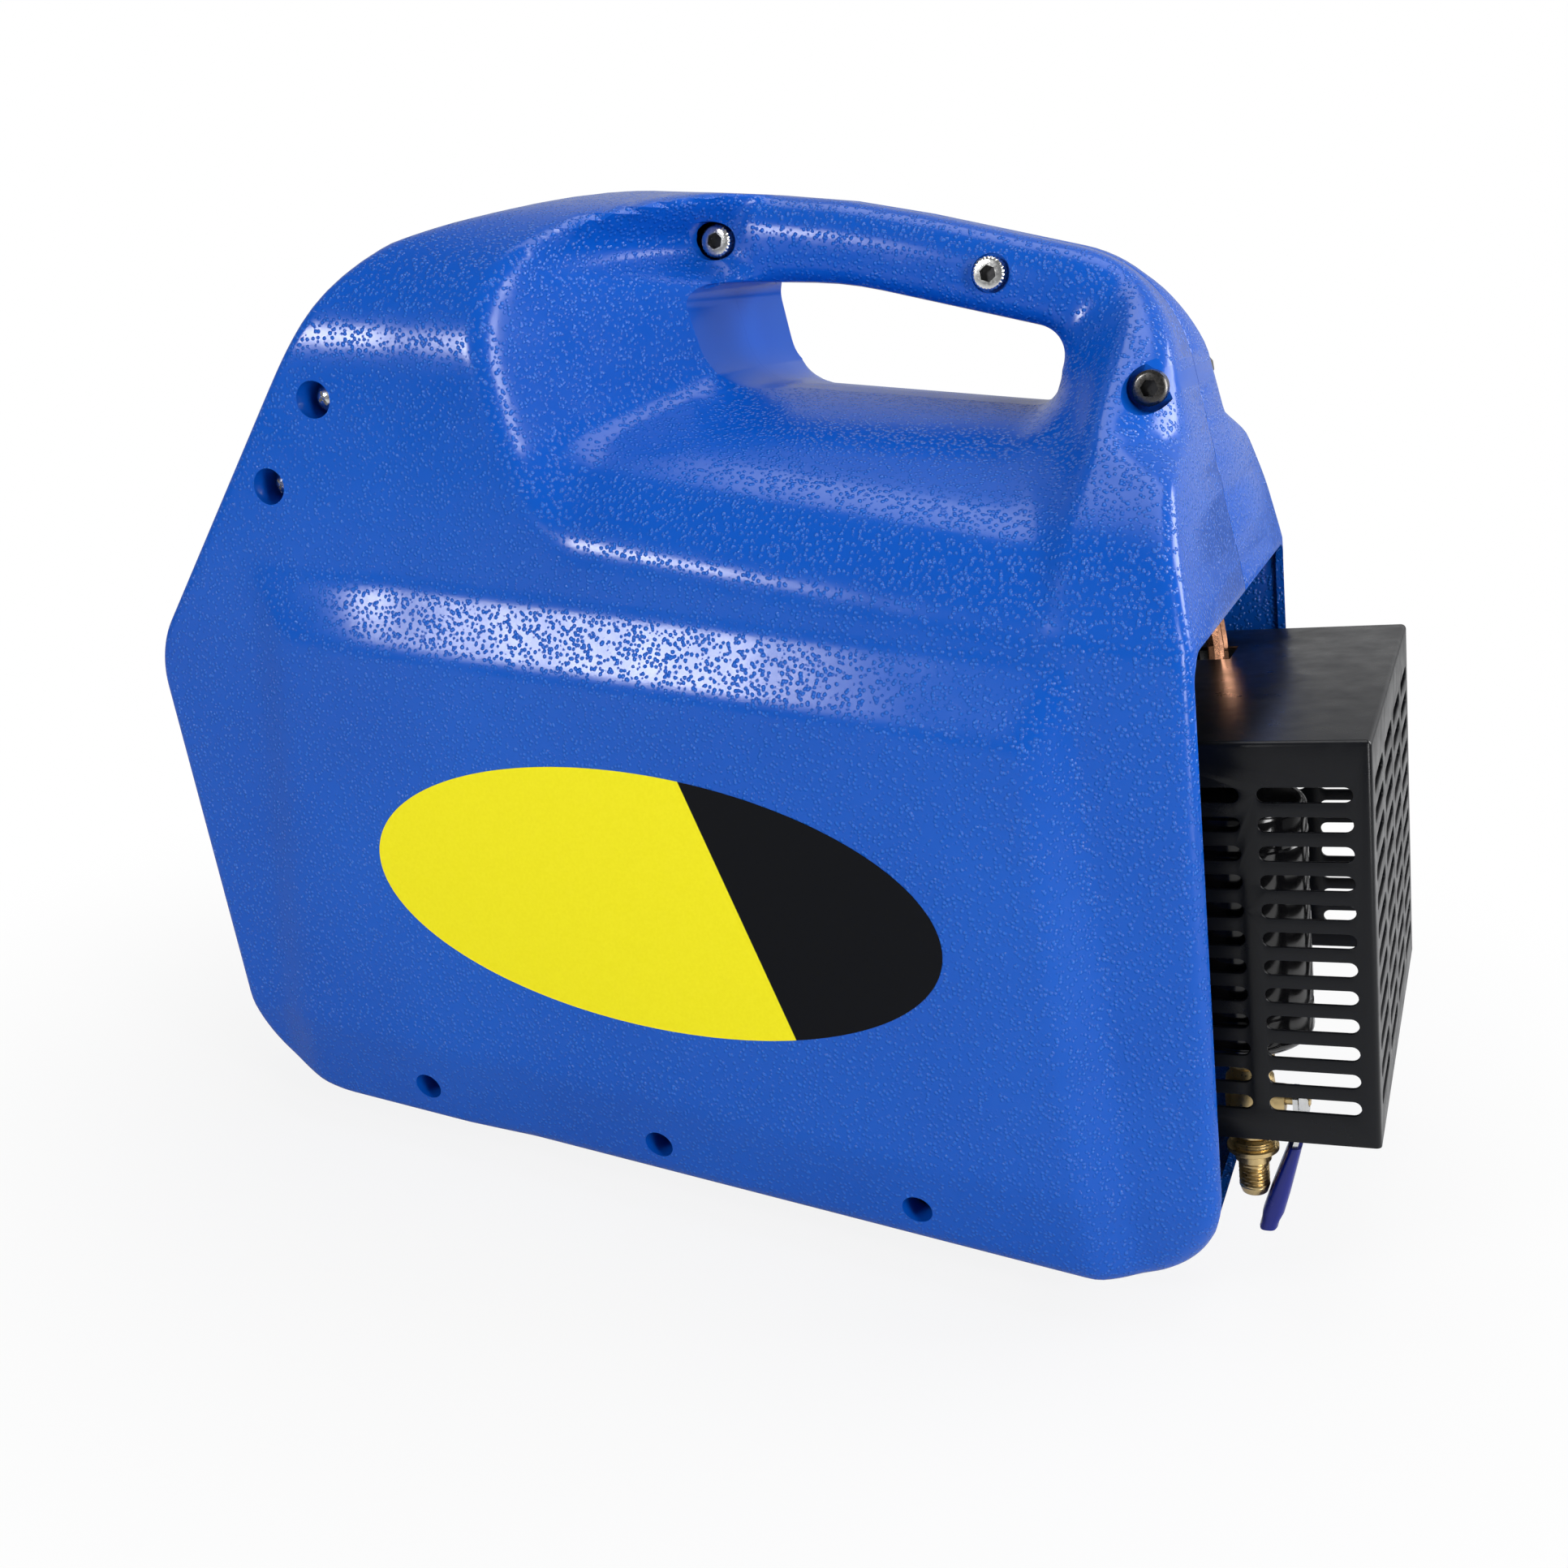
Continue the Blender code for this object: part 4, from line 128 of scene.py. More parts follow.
EDGE_CURL = 0.1               # how fast the scoop's front edge curls back under the roof
EDGE_CURL_Z = 338 * MM
HANDLE_HALF = 20 * MM
HANDLE_RIM = 14 * MM
HANDLE_UNDER = 8 * MM
HOLE_CORNERS = ((-48.5 * MM, 341.6 * MM, 7 * MM), (6 * MM, 343.2 * MM, 150 * MM),
                (91 * MM, 330.5 * MM, 14 * MM), (92 * MM, 304.2 * MM, 13 * MM),
                (-35 * MM, 304.6 * MM, 22 * MM))
SILL_TOP = 318 * MM           # under this the case rounds over to the seam below the hand hole
SILL_BLEND = 8 * MM
SILL_FRONT = -34 * MM
SILL_FRONT_BLEND = 22 * MM
SILL_REAR = 98 * MM
SILL_REAR_BLEND = 14 * MM
SILL_REACH = 15 * MM
SILL_HALF = 3 * MM
SEAM_ROUND = 0.9 * MM
SEAM_CLOSED = 0.02 * MM       # from the middle to each half in the hand hole
SOFTEN = 3.5 * MM             # radius over which the creases are rounded
EDGE_RINGS = (0.4, 1.2, 2.4, 4, 6, 8.5, 11, 14)   # mm inside the outline, rings of close points
HOLE_RINGS = (0.5, 1.5, 3, 5, 7.5)                # mm outside the hand hole
GRID_FROM_EDGE = 16 * MM
GRID_FROM_HOLE = 9 * MM

# Openings in the ends
REAR_LEAN = math.atan2(REAR_FOOT[0] - REAR_BREAK[0], REAR_BREAK[1] - REAR_FOOT[1])
REAR_OPENING_HALF = 112 * MM
REAR_OPENING_TOP = 242 * MM
REAR_OPENING_LOW = 40 * MM
OPENING_CORNER = 10 * MM
FRONT_OPENING_HALF = 81.5 * MM
FRONT_OPENING_REACH = 50 * MM
PANEL_MARGIN = 8 * MM
REAR_CUT = (22 * MM, 30 * MM)  # into the face and out of it
FRONT_CUT = (12 * MM, 20 * MM)

# Fasteners
BOLT = 3 * MM
BOLT_HEAD = 6 * MM
BOLT_HEAD_HEIGHT = 5.5 * MM
BOLT_SEAT = 2.5 * MM
HANDLE_BOLTS = ((-45 * MM, 356.5 * MM), (62 * MM, 349.4 * MM))
REAR_BOLT = (128 * MM, 316 * MM)
REAR_BOLT_BORE = 8 * MM
REAR_BOLT_FLOOR = 44 * MM
BOSS_WALL = 3.5 * MM
RECESS_WALL = 2 * MM
BOLT_RECESS = BOLT_HEAD + 1 * MM
SOCKET_ACROSS = 5.4 * MM
SOCKET_DEPTH = 3.5 * MM
KNURLS = 26
KNURL_DEPTH = 0.3 * MM
SCREW = 2 * MM
SCREW_HEAD = 4.75 * MM
SCREW_HEAD_HEIGHT = 3 * MM
PANEL_SCREWS = ((-159 * MM, 298 * MM), (-180 * MM, 265 * MM))
PANEL_SCREW_BORE = 6.75 * MM
PANEL_HEAD = 5.4 * MM
PANEL_HEAD_HEIGHT = 7.5 * MM
PANEL_SCREW_FLOOR = 106 * MM
BASE_SCREW_X = (-121 * MM, -17 * MM, 87 * MM)
BASE_SCREW_Z = 28 * MM
BASE_SCREW_BORE = 5.75 * MM
BASE_SCREW_FLOOR = 106 * MM
BASE_HALF = 98 * MM
FOOT_X = (-122 * MM, 118 * MM)
FOOT_Y = 72 * MM
STUD_RADIUS = 5 * MM

# Guard box, in the frame of the rear face
SHEET = 1.5 * MM
BOX_HALF = 91.4 * MM
BOX_TOP = 60 * MM
BOX_LOW = -82 * MM
BOX_OUT = 49.4 * MM
BOX_IN = -29.6 * MM
SLOT_ROWS = 12
SLOT_PITCH = 10 * MM
SLOT_HEIGHT = 5.3 * MM
FIRST_SLOT = 18 * MM
SIDE_SLOT = 30 * MM
SIDE_SLOT_GAP = 5.5 * MM
SIDE_SLOT_MARGIN = 6 * MM
END_SLOT = 35 * MM
END_SLOT_PITCH = 43.3 * MM
END_SLOTS = 4
BOX_FLANGE = 12 * MM
TUBE_PASS = (40 * MM, 51 * MM)
TUBE_RADIUS = 3.175 * MM
TUBE_DEPTH = -19 * MM

# Inlet line, in the frame of the rear face
LINE_Y = -64 * MM
LINE_OUT = 3 * MM
DRIER_RADIUS = 23 * MM
DRIER_TOP = 38 * MM
DRIER_LOW = -58 * MM
VALVE_Z = -79 * MM
VALVE_HALF = 9 * MM
PORT_TIP = -117 * MM
PORT_RIM = -100 * MM
LEVER_OUT = 18 * MM
LEVER_LENGTH = 50 * MM
LEVER_BEND = 15 * MM
LEVER_LEAN = 0.315
LEVER_WIDTH = 9 * MM
LEVER_THICK = 1.8 * MM
SLEEVE_WALL = 1.2 * MM
STEM_RADIUS = 2.5 * MM
PORT_RADIUS = 5.5 * MM
PORT_COLLAR_RIM = 9.2 * MM
UNION_ACROSS = 15.6 * MM
BONNET_ACROSS = 9.8 * MM
NUT_ACROSS = 8.7 * MM

# Gauges, in the frame of the upper front face
PANEL_SETBACK = WALL + GAP
BEZEL = 3 * MM
DIAL_DEPTH = 4.5 * MM
GAUGE_Y = 49.011 * MM
GAUGE_UP = 8 * MM
DIAL_RADIUS = 27 * MM
NEEDLE_PIN = 1.2 * MM

# Light
ROOM_LIGHT = 0.19
BACKDROP_GLOSS = 0.4          # share of the white backdrop that gloss sees
SHADOW_NEAR = 0.2             # up to this far from the floor's middle the shadow is strongest
SHADOW_FAR = 0.5              # and past this it is gone
SHADOW_SHARE = 0.86

# Label on the belly
LABEL_AT = (-22 * MM, 129 * MM)
LABEL_HALF = (113.5 * MM, 49 * MM)
LABEL_SPLIT_TOP = -9 * MM     # X of the slanted line at the label's top and bottom
LABEL_SPLIT_LOW = 44 * MM


# Materials


class Tree:
    """Short calls for the nodes of a material or of the world."""

    def __init__(self, tree):
        self.tree = tree

    def add(self, kind, **values):
        node = self.tree.nodes.new(kind)
        for key, value in values.items():
            setattr(node, key, value)
        return node

    def link(self, source, target):
        self.tree.links.new(source, target)

    def remap(self, value, low, high, to_low, to_high, smooth=False):
        node = self.add("ShaderNodeMapRange")
        if smooth:
            node.interpolation_type = "SMOOTHSTEP"
        self.link(value, node.inputs["Value"])
        for key, number in (("From Min", low), ("From Max", high), ("To Min", to_low), ("To Max", to_high)):
            node.inputs[key].default_value = number
        return node.outputs["Result"]

    def maths(self, operation, a, b):
        node = self.add("ShaderNodeMath", operation=operation)
        for socket, value in zip(node.inputs, (a, b)):
            if isinstance(value, (int, float)):
                socket.default_value = value
            else:
                self.link(value, socket)
        return node.outputs["Value"]


class Nodes(Tree):
    """A material under construction, with its shader and the object's coordinates."""

    def __init__(self, name, colour, roughness, metallic=0.0, specular=0.5):
        self.material = bpy.data.materials.new(name)
        self.material.use_nodes = True
        super().__init__(self.material.node_tree)
        self.shader = self.tree.nodes["Principled BSDF"]
        self.shader.inputs["Base Color"].default_value = (*colour, 1)
        self.shader.inputs["Roughness"].default_value = roughness
        self.shader.inputs["Metallic"].default_value = metallic
        self.shader.inputs["Specular IOR Level"].default_value = specular
        self.place = self.tree.nodes.new("ShaderNodeTexCoord").outputs["Object"]

    def noise(self, scale, detail=3.0, roughness=0.5, place=None):
        node = self.add("ShaderNodeTexNoise")
        node.inputs["Scale"].default_value = scale
        node.inputs["Detail"].default_value = detail
        node.inputs["Roughness"].default_value = roughness
        self.link(place or self.place, node.inputs["Vector"])
        return node.outputs["Fac"]

    def voronoi(self, scale, place=None, feature="F1"):
        node = self.add("ShaderNodeTexVoronoi", feature=feature)
        node.inputs["Scale"].default_value = scale
        self.link(place or self.place, node.inputs["Vector"])
        return node.outputs["Distance"]

    def stretched(self, scale):
        node = self.add("ShaderNodeMapping")
        node.inputs["Scale"].default_value = scale
        self.link(self.place, node.inputs["Vector"])
        return node.outputs["Vector"]

    def warped(self, scale, reach):
        """The object's coordinates pushed about by noise, to make even patterns irregular."""
        noise = self.add("ShaderNodeTexNoise")
        noise.inputs["Scale"].default_value = scale
        noise.inputs["Detail"].default_value = 1
        self.link(self.place, noise.inputs["Vector"])
        push = self.add("ShaderNodeVectorMath", operation="MULTIPLY_ADD")
        self.link(noise.outputs["Color"], push.inputs[0])
        push.inputs[1].default_value = (2 * reach,) * 3
        push.inputs[2].default_value = (-reach,) * 3
        total = self.add("ShaderNodeVectorMath", operation="ADD")
        self.link(self.place, total.inputs[0])
        self.link(push.outputs["Vector"], total.inputs[1])
        return total.outputs["Vector"]

    def blend(self, fac, first, second):
        node = self.add("ShaderNodeMix", data_type="RGBA")
        self.link(fac, node.inputs["Factor"])
        for key, value in (("A", first), ("B", second)):
            socket = [s for s in node.inputs if s.name == key and s.type == "RGBA"][0]
            if isinstance(value, tuple):
                socket.default_value = (*value, 1)
            else:
                self.link(value, socket)
        return [s for s in node.outputs if s.type == "RGBA"][0]

    def bump(self, height, distance, strength=1.0, below=None):
        node = self.add("ShaderNodeBump")
        node.inputs["Distance"].default_value = distance
        node.inputs["Strength"].default_value = strength
        self.link(height, node.inputs["Height"])
        if below:
            self.link(below, node.inputs["Normal"])
        self.link(node.outputs["Normal"], self.shader.inputs["Normal"])
        return node.outputs["Normal"]

    def colour(self, socket):
        self.link(socket, self.shader.inputs["Base Color"])

    def roughness(self, socket):
        self.link(socket, self.shader.inputs["Roughness"])


def grained_blue(name, grain):
    """The case's moulded plastic, with the raised drops of its grain where grain is set, their tops painted
    lighter as a painted glint.
    """
    m = Nodes(name, (0.002, 0.08, 0.46), 0.2, specular=0.35 if grain else 0.2)
    patches = m.remap(m.noise(14, 2), 0.3, 0.7, 0, 1)
    colour = m.blend(patches, (0.001, 0.075, 0.44), (0.002, 0.086, 0.48))
    m.roughness(m.remap(m.noise(60, 3), 0.3, 0.7, 0.17, 0.24))
    soft = m.bump(m.noise(2600, 2), 0.01 * MM)
    if grain:
        reach = m.remap(m.voronoi(580, m.warped(300, 0.45 * MM)), 0, 0.46, 0, 1)
        drops = m.maths("SUBTRACT", 1.0, m.maths("POWER", reach, 2.0))
        m.bump(drops, 0.34 * MM, 1.0, soft)
        # painted highlight: each drop's top is painted a lighter blue, standing in for the glint it catches
        # from the lamps
        colour = m.blend(m.remap(drops, 0.3, 0.95, 0, 0.5, True), colour, (0.02, 0.17, 0.68))
    m.colour(colour)
    return m.material


def powder_coat():
    m = Nodes("powder_coat", (0.003, 0.0035, 0.005), 0.3, specular=0.26)
    m.roughness(m.remap(m.noise(90, 3), 0.3, 0.7, 0.26, 0.38))
    m.bump(m.noise(1500, 2), 0.03 * MM)
    return m.material


def plated(name, colour, roughness, streak=(900, 900, 900)):
    """Machined or plated metal with fine tool marks."""
    m = Nodes(name, colour, roughness, 1.0)
    marks = m.noise(1, 3, 0.6, m.stretched(streak))
    m.roughness(m.remap(marks, 0.3, 0.7, roughness * 0.7, roughness * 1.4))
    dull = tuple(c * 0.72 for c in colour)
    m.colour(m.blend(m.remap(m.noise(120, 4), 0.35, 0.7, 0, 0.6), colour, dull))
    m.bump(marks, 0.008 * MM)
    return m.material


def enamel(name, colour, roughness=0.12):
    m = Nodes(name, colour, roughness, specular=0.5)
    m.roughness(m.remap(m.noise(40, 3), 0.3, 0.7, roughness * 0.7, roughness * 1.5))
    m.bump(m.noise(260, 2), 0.02 * MM)
    return m.material


def moulded(name, colour, roughness=0.5, grain=900):
    m = Nodes(name, colour, roughness, specular=0.4)
    m.roughness(m.remap(m.noise(80, 3), 0.3, 0.7, roughness * 0.85, roughness * 1.15))
    m.bump(m.noise(grain, 3), 0.03 * MM)
    return m.material


def clear_lens():
    m = Nodes("lens_clear", (0.95, 0.97, 0.98), 0.03, specular=0.5)
    m.shader.inputs["Transmission Weight"].default_value = 0.0
    m.shader.inputs["Alpha"].default_value = 0.07
    m.roughness(m.remap(m.noise(30, 2), 0.3, 0.7, 0.02, 0.06))
    return m.material


def label_material():
    """A glossy film in two plain fields, parted by a slanted line."""
    m = Nodes("label_film", (0.9, 0.82, 0.02), 0.12, specular=0.12)
    split = m.add("ShaderNodeSeparateXYZ")
    m.link(m.place, split.inputs["Vector"])
    slope = (LABEL_SPLIT_LOW - LABEL_SPLIT_TOP) / (2 * LABEL_HALF[1])
    middle = (LABEL_SPLIT_LOW + LABEL_SPLIT_TOP) / 2
    across = m.maths("SUBTRACT", split.outputs["X"], middle)
    rise = m.maths("SUBTRACT", split.outputs["Z"], LABEL_AT[1])
    side = m.maths("ADD", across, m.maths("MULTIPLY", rise, slope))
    dark = m.remap(side, -0.15 * MM, 0.15 * MM, 0, 1)
    mottle = m.noise(900, 2)
    yellow = m.blend(m.remap(mottle, 0.3, 0.7, 0, 1), (0.82, 0.74, 0.014), (0.79, 0.71, 0.01))
    m.colour(m.blend(dark, yellow, (0.002, 0.0025, 0.004)))
    m.roughness(m.remap(m.noise(50, 2), 0.3, 0.7, 0.09, 0.16))
    return m.material


BLUE = grained_blue("case_grained", True)
BLUE_SMOOTH = grained_blue("case_smooth", False)
POWDER = powder_coat()
ZINC = plated("zinc_plate", (0.8, 0.8, 0.78), 0.2)
DARK_STEEL = plated("black_oxide", (0.11, 0.105, 0.1), 0.26)
# painted shade: a near-black metal for the inside of the bolts' hex sockets, standing in for the shade that
# falls there
SOCKET = plated("socket_painted_shade", (0.05, 0.05, 0.052), 0.35)
STEEL = plated("plain_steel", (0.42, 0.42, 0.42), 0.4)
ALUMINIUM = plated("cast_aluminium", (0.62, 0.62, 0.62), 0.42)
BRASS = plated("machined_brass", (0.72, 0.54, 0.26), 0.34)
COPPER = plated("drawn_copper", (0.78, 0.38, 0.22), 0.22)
GLOSS_BLACK = enamel("black_enamel", (0.006, 0.006, 0.007))
PLASTIC = moulded("black_plastic", (0.014, 0.014, 0.015))
RUBBER = moulded("foot_rubber", (0.012, 0.012, 0.012), 0.75, 500)
VINYL = enamel("blue_vinyl", (0.004, 0.012, 0.2), 0.22)
DIAL = enamel("dial_white", (0.8, 0.8, 0.78), 0.4)
INK = enamel("dial_print", (0.012, 0.012, 0.014), 0.5)
NEEDLE_BLUE = enamel("needle_blue", (0.004, 0.02, 0.3), 0.3)
RED = enamel("red_plastic", (0.55, 0.012, 0.012), 0.28)
LENS_CLEAR = clear_lens()
LABEL = label_material()

LOOKS = {
    "case_blue": BLUE, "black_powder_coat": POWDER, "zinc_plate": ZINC, "dark_steel": DARK_STEEL,
    "steel": STEEL, "aluminium": ALUMINIUM, "brass": BRASS, "copper": COPPER, "gloss_black": GLOSS_BLACK,
    "rubber": RUBBER, "blue_vinyl": VINYL, "clear_lens": LENS_CLEAR, "needle_blue": NEEDLE_BLUE,
    "red_plastic": RED, "black_plastic": PLASTIC,
}

SLOTS = {look.name: slot for slot, look in LOOKS.items()}
SLOTS.update({LABEL.name: "case_blue", DIAL.name: "black_plastic", INK.name: "black_plastic"})


def dress_nodes():
    """Every node of the frame gets the procedural material of its slot."""
    slots = {entry["node"]: entry["material_slot"] for entry in frame["record"]["subparts"]}
    for name, obj in frame["nodes"].items():
        for slot in obj.material_slots:
            slot.material = LOOKS[slots[name]]


# Places and small tools


def frame_matrix(origin, right, up):
    right, up = Vector(right), Vector(up)
    axes = Matrix((right, up, right.cross(up))).transposed().to_4x4()
    return Matrix.Translation(origin) @ axes


def face_frames():
    """Frames of the leaning end faces, with local Z out of the face and local Y up it."""
    middle = 150 * MM
    x = REAR_FOOT[0] - (middle - REAR_FOOT[1]) * math.tan(REAR_LEAN)
    frames = {"rear": frame_matrix((x, 0, middle), (0, 1, 0),
                                   (-math.sin(REAR_LEAN), 0, math.cos(REAR_LEAN)))}
    nose = Vector((NOSE[0], 0, NOSE[1]))
    ends = {"upper": Vector((SHOULDER[0], 0, SHOULDER[1])),
            "lower": Vector((FRONT_FOOT[0], 0, FRONT_FOOT[1]))}
    bend = math.pi - (ends["upper"] - nose).angle(ends["lower"] - nose)
    for name, turn in (("upper", 1), ("lower", -1)):
        along = (ends[name] - nose).normalized()
        start = NOSE[2] * math.tan(bend / 2)
        centre = nose + along * (start + FRONT_OPENING_REACH + PANEL_MARGIN + 8 * MM)
        frames[name] = frame_matrix(centre, (0, -1, 0), along * turn)
    return frames


FACES = face_frames()
REAR = FACES["rear"]


def new_object(name, data):
    obj = bpy.data.objects.new(name, data)
    bpy.context.scene.collection.objects.link(obj)
    return obj


def evaluated_mesh(obj):
    """The object's mesh after its modifiers."""
    bpy.context.view_layer.update()
    return bpy.data.meshes.new_from_object(obj.evaluated_get(bpy.context.evaluated_depsgraph_get()))


def add_piece(name, mesh, material, body="machine", replaces=(), matrix=None, smooth=40):
    """A piece of the scene in the machine's frame, riding on a body."""
    if matrix:
        mesh.transform(matrix)
    obj = new_object(name, mesh)
    if not mesh.materials:
        mesh.materials.append(material)
    if smooth:
        mesh.shade_smooth()
        mesh.set_sharp_from_angle(angle=math.radians(smooth))
    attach(obj, body)
    if replaces:
        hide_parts(*replaces)
    return obj


def mesh_from(bm, name):
    bmesh.ops.recalc_face_normals(bm, faces=bm.faces)
    mesh = bpy.data.meshes.new(name)
    bm.to_mesh(mesh)
    bm.free()
    return mesh


def cut_mesh(mesh, tools, solver="MANIFOLD"):
    """The mesh after boolean steps, each an (operation, mesh) pair."""
    obj = new_object("work", mesh)
    helpers = [obj]
    for operation, tool in tools:
        helper = new_object("tool", tool)
        helpers.append(helper)
        modifier = obj.modifiers.new("cut", "BOOLEAN")
        modifier.solver = solver
        modifier.operation = operation
        modifier.object = helper
    result = evaluated_mesh(obj)
    for helper in helpers:
        bpy.data.objects.remove(helper, do_unlink=True)
    return result


def with_modifiers(mesh, *modifiers):
    """The mesh after modifiers, each a type with its settings."""
    obj = new_object("work", mesh)
    for kind, settings in modifiers:
        modifier = obj.modifiers.new(kind.lower(), kind)
        for key, value in settings.items():
            setattr(modifier, key, value)
    result = evaluated_mesh(obj)
    bpy.data.objects.remove(obj, do_unlink=True)
    return result


def rounded(mesh, width, segments=2, angle=35):
    return with_modifiers(mesh, ("BEVEL", dict(width=width, segments=segments, limit_method="ANGLE",
                                               angle_limit=math.radians(angle), use_clamp_overlap=True)))


def lathe(name, profile, sides=64, wave=None):
    """A turned solid about Z: rings of (radius, height) from top to bottom, radius 0 at both ends.

    wave(angle, height, radius) gives the radius at each point, for knurls, flutes and threads."""
    bm = bmesh.new()
    rings = []
    for radius, height in profile:
        if radius < 1e-9:
            rings.append([bm.verts.new((0, 0, height))])
            continue
        ring = []
        for n in range(sides):
            angle = 2 * math.pi * n / sides
            r = wave(angle, height, radius) if wave else radius
            ring.append(bm.verts.new((r * math.cos(angle), r * math.sin(angle), height)))
        rings.append(ring)
    for upper, lower in zip(rings, rings[1:]):
        for n in range(sides):
            m = (n + 1) % sides
            corners = [upper[n % len(upper)], lower[n % len(lower)],
                       lower[m % len(lower)], upper[m % len(upper)]]
            unique = list(dict.fromkeys(corners))
            if len(unique) > 2:
                bm.faces.new(unique)
    return mesh_from(bm, name)


def joined(name, meshes):
    bm = bmesh.new()
    for mesh in meshes:
        bm.from_mesh(mesh)
    mesh = bpy.data.meshes.new(name)
    bm.to_mesh(mesh)
    bm.free()
    return mesh


def cylinder(radius, low, high, at=(0, 0), axis="Z", sides=48):
    turn = {"Z": Matrix.Identity(4), "Y": Matrix.Rotation(math.pi / 2, 4, "X"),
            "X": Matrix.Rotation(math.pi / 2, 4, "Y")}[axis]
    middle = (low + high) / 2
    centre = {"Z": (at[0], at[1], middle), "Y": (at[0], middle, at[1]), "X": (middle, at[0], at[1])}[axis]
    bm = bmesh.new()
    bmesh.ops.create_cone(bm, cap_ends=True, segments=sides, radius1=radius, radius2=radius, depth=high - low)
    mesh = mesh_from(bm, "cylinder")
    mesh.transform(Matrix.Translation(centre) @ turn)
    return mesh


def prism(outline, low, high):
    """A solid from a closed outline in XY, from low to high along Z."""
    bm = bmesh.new()
    top = [bm.verts.new((x, y, high)) for x, y in outline]
    bottom = [bm.verts.new((x, y, low)) for x, y in outline]
    bm.faces.new(top)
    bm.faces.new(list(reversed(bottom)))
    for n in range(len(outline)):
        m = (n + 1) % len(outline)
        bm.faces.new((top[n], bottom[n], bottom[m], top[m]))
    return mesh_from(bm, "prism")


def box_mesh(low, high):
    outline = [(low[0], low[1]), (high[0], low[1]), (high[0], high[1]), (low[0], high[1])]
    return prism(outline, low[2], high[2])


def rounded_outline(corners, step=FINE_ARC):
    """Points of a closed outline whose corners (x, z, radius) are rounded by arcs."""
    points = []
    for index, (x, z, radius) in enumerate(corners):
        before = Vector(corners[index - 1][:2])
        after = Vector(corners[(index + 1) % len(corners)][:2])
        corner = Vector((x, z))
        back = (before - corner).normalized()
        ahead = (after - corner).normalized()
        half_angle = back.angle(ahead) / 2
        start = corner + back * radius / math.tan(half_angle)
        centre = corner + (back + ahead).normalized() * radius / math.sin(half_angle)
        turn = math.pi - 2 * half_angle
        count = max(1, round(turn / step))
        sign = 1 if back.x * ahead.y - back.y * ahead.x < 0 else -1
        for n in range(count + 1):
            points.append(centre + Matrix.Rotation(sign * turn * n / count, 2) @ (start - centre))
    return np.array([tuple(point) for point in points])


def resampled(points, spacing):
    result = []
    for start, end in zip(points, np.roll(points, -1, axis=0)):
        length = math.hypot(*(end - start))
        if length < 1e-6:
            continue
        count = max(1, round(length / spacing))
        result.extend(start + (end - start) * n / count for n in range(count))
    return np.array(result)


def distance_to(outline, x, z):
    """Distance from each point to the outline, and whether it is inside."""
    best = np.full(x.shape, np.inf)
    inside = np.zeros(x.shape, bool)
    for (ax, az), (bx, bz) in zip(outline, np.roll(outline, -1, axis=0)):
        dx, dz = bx - ax, bz - az
        along = np.clip(((x - ax) * dx + (z - az) * dz) / (dx * dx + dz * dz), 0, 1)
        best = np.minimum(best, np.hypot(x - ax - along * dx, z - az - along * dz))
        if az != bz:
            crosses = (az > z) != (bz > z)
            inside ^= crosses & (x < ax + (z - az) * dx / dz)
    return best, inside


# Relief of the case side


def ramp(value, start, width):
    return np.clip((value - start) / width, 0, 1)


def soft_ramp(value, start, width):
    t = ramp(value, start, width)
    return t * t * (3 - 2 * t)


def soft_min(a, b, reach):
    near = np.maximum(reach - np.abs(a - b), 0) / reach
    return np.minimum(a, b) - near * near * reach / 4


def soft_max(a, b, reach):
    return -soft_min(-a, -b, reach)


def side_panel(x, z):
    """Half width of the plain side: the raised belly, the taper under it and the roof's curve."""
    belly = ramp(-z, -BELLY_TOP, BELLY_TOP_BAND)
    belly = np.minimum(belly, ramp(x, BELLY_FRONT - BELLY_FRONT_BAND, BELLY_FRONT_BAND))
    rear_edge = BELLY_REAR + (REAR_BAND_Z - z) * REAR_BAND_LEAN
    belly = np.minimum(belly, ramp(-x, -rear_edge, REAR_BAND))
    taper = LOW_TAPER * np.maximum(BELLY_LOW - z, 0)
    side = BELLY_HALF - RELIEF + FRONT_SWELL * soft_ramp(-x, -FRONT_SWELL_X, FRONT_SWELL_BLEND)
    rise = np.clip((z - ROOF_START) / (SHOULDER[1] + 1 * MM - ROOF_START), 0, 1)
    roof = side * (1 - (1 - rise ** ROOF_POWER) ** (1 / ROOF_POWER)) * ramp(-x, 0, -SCOOP_EDGE_X)
    return side + (BELLY_HALF - side) * belly - taper - roof


def scoop(x, z):
    """Half width inside the scoop: shelf, front wall, rear column and handle, blended."""
    side = BELLY_HALF - RELIEF
    crease = CREASE_Z - CREASE_FALL * x
    band = side - BAND_SLOPE * (z - crease)
    shelf = side - BAND_SLOPE * BAND_HEIGHT - SHELF_SLOPE * (z - crease - BAND_HEIGHT)
    shelf = soft_min(band, shelf, SOFT_RIDGE)
    rise = np.clip((z - SCOOP_EDGE_Z) / SCOOP_EDGE_RISE, 0, 2)
    curl = EDGE_CURL * (np.maximum(z - EDGE_CURL_Z, 0) / MM) ** 1.65 * MM
    edge = SCOOP_EDGE_X - SCOOP_EDGE_BACK * rise ** 0.7 + curl
    slope = WALL_SLOPE + WALL_SLOPE_TOP * ramp(z, HOLE_CORNERS[0][1], HANDLE_RIM)
    front = side - slope * (x - edge)
    column = side - BAND_SLOPE * (z - COLUMN_Z)
    steep = side - BAND_SLOPE * (COLUMN_BREAK - COLUMN_Z) - COLUMN_SLOPE * (z - COLUMN_BREAK)
    column = soft_min(column, steep, SOFT_RIDGE) - COLUMN_FLARE * np.maximum(COLUMN_X - x, 0)
    valley = np.maximum(COLUMN_VALLEY * ramp(z - crease, VALLEY_START, VALLEY_BLEND), 2 * MM)
    body = soft_max(soft_max(shelf, front, SOFT_VALLEY), column, valley)
    return soft_max(body, np.full(x.shape, HANDLE_HALF), SOFT_VALLEY)


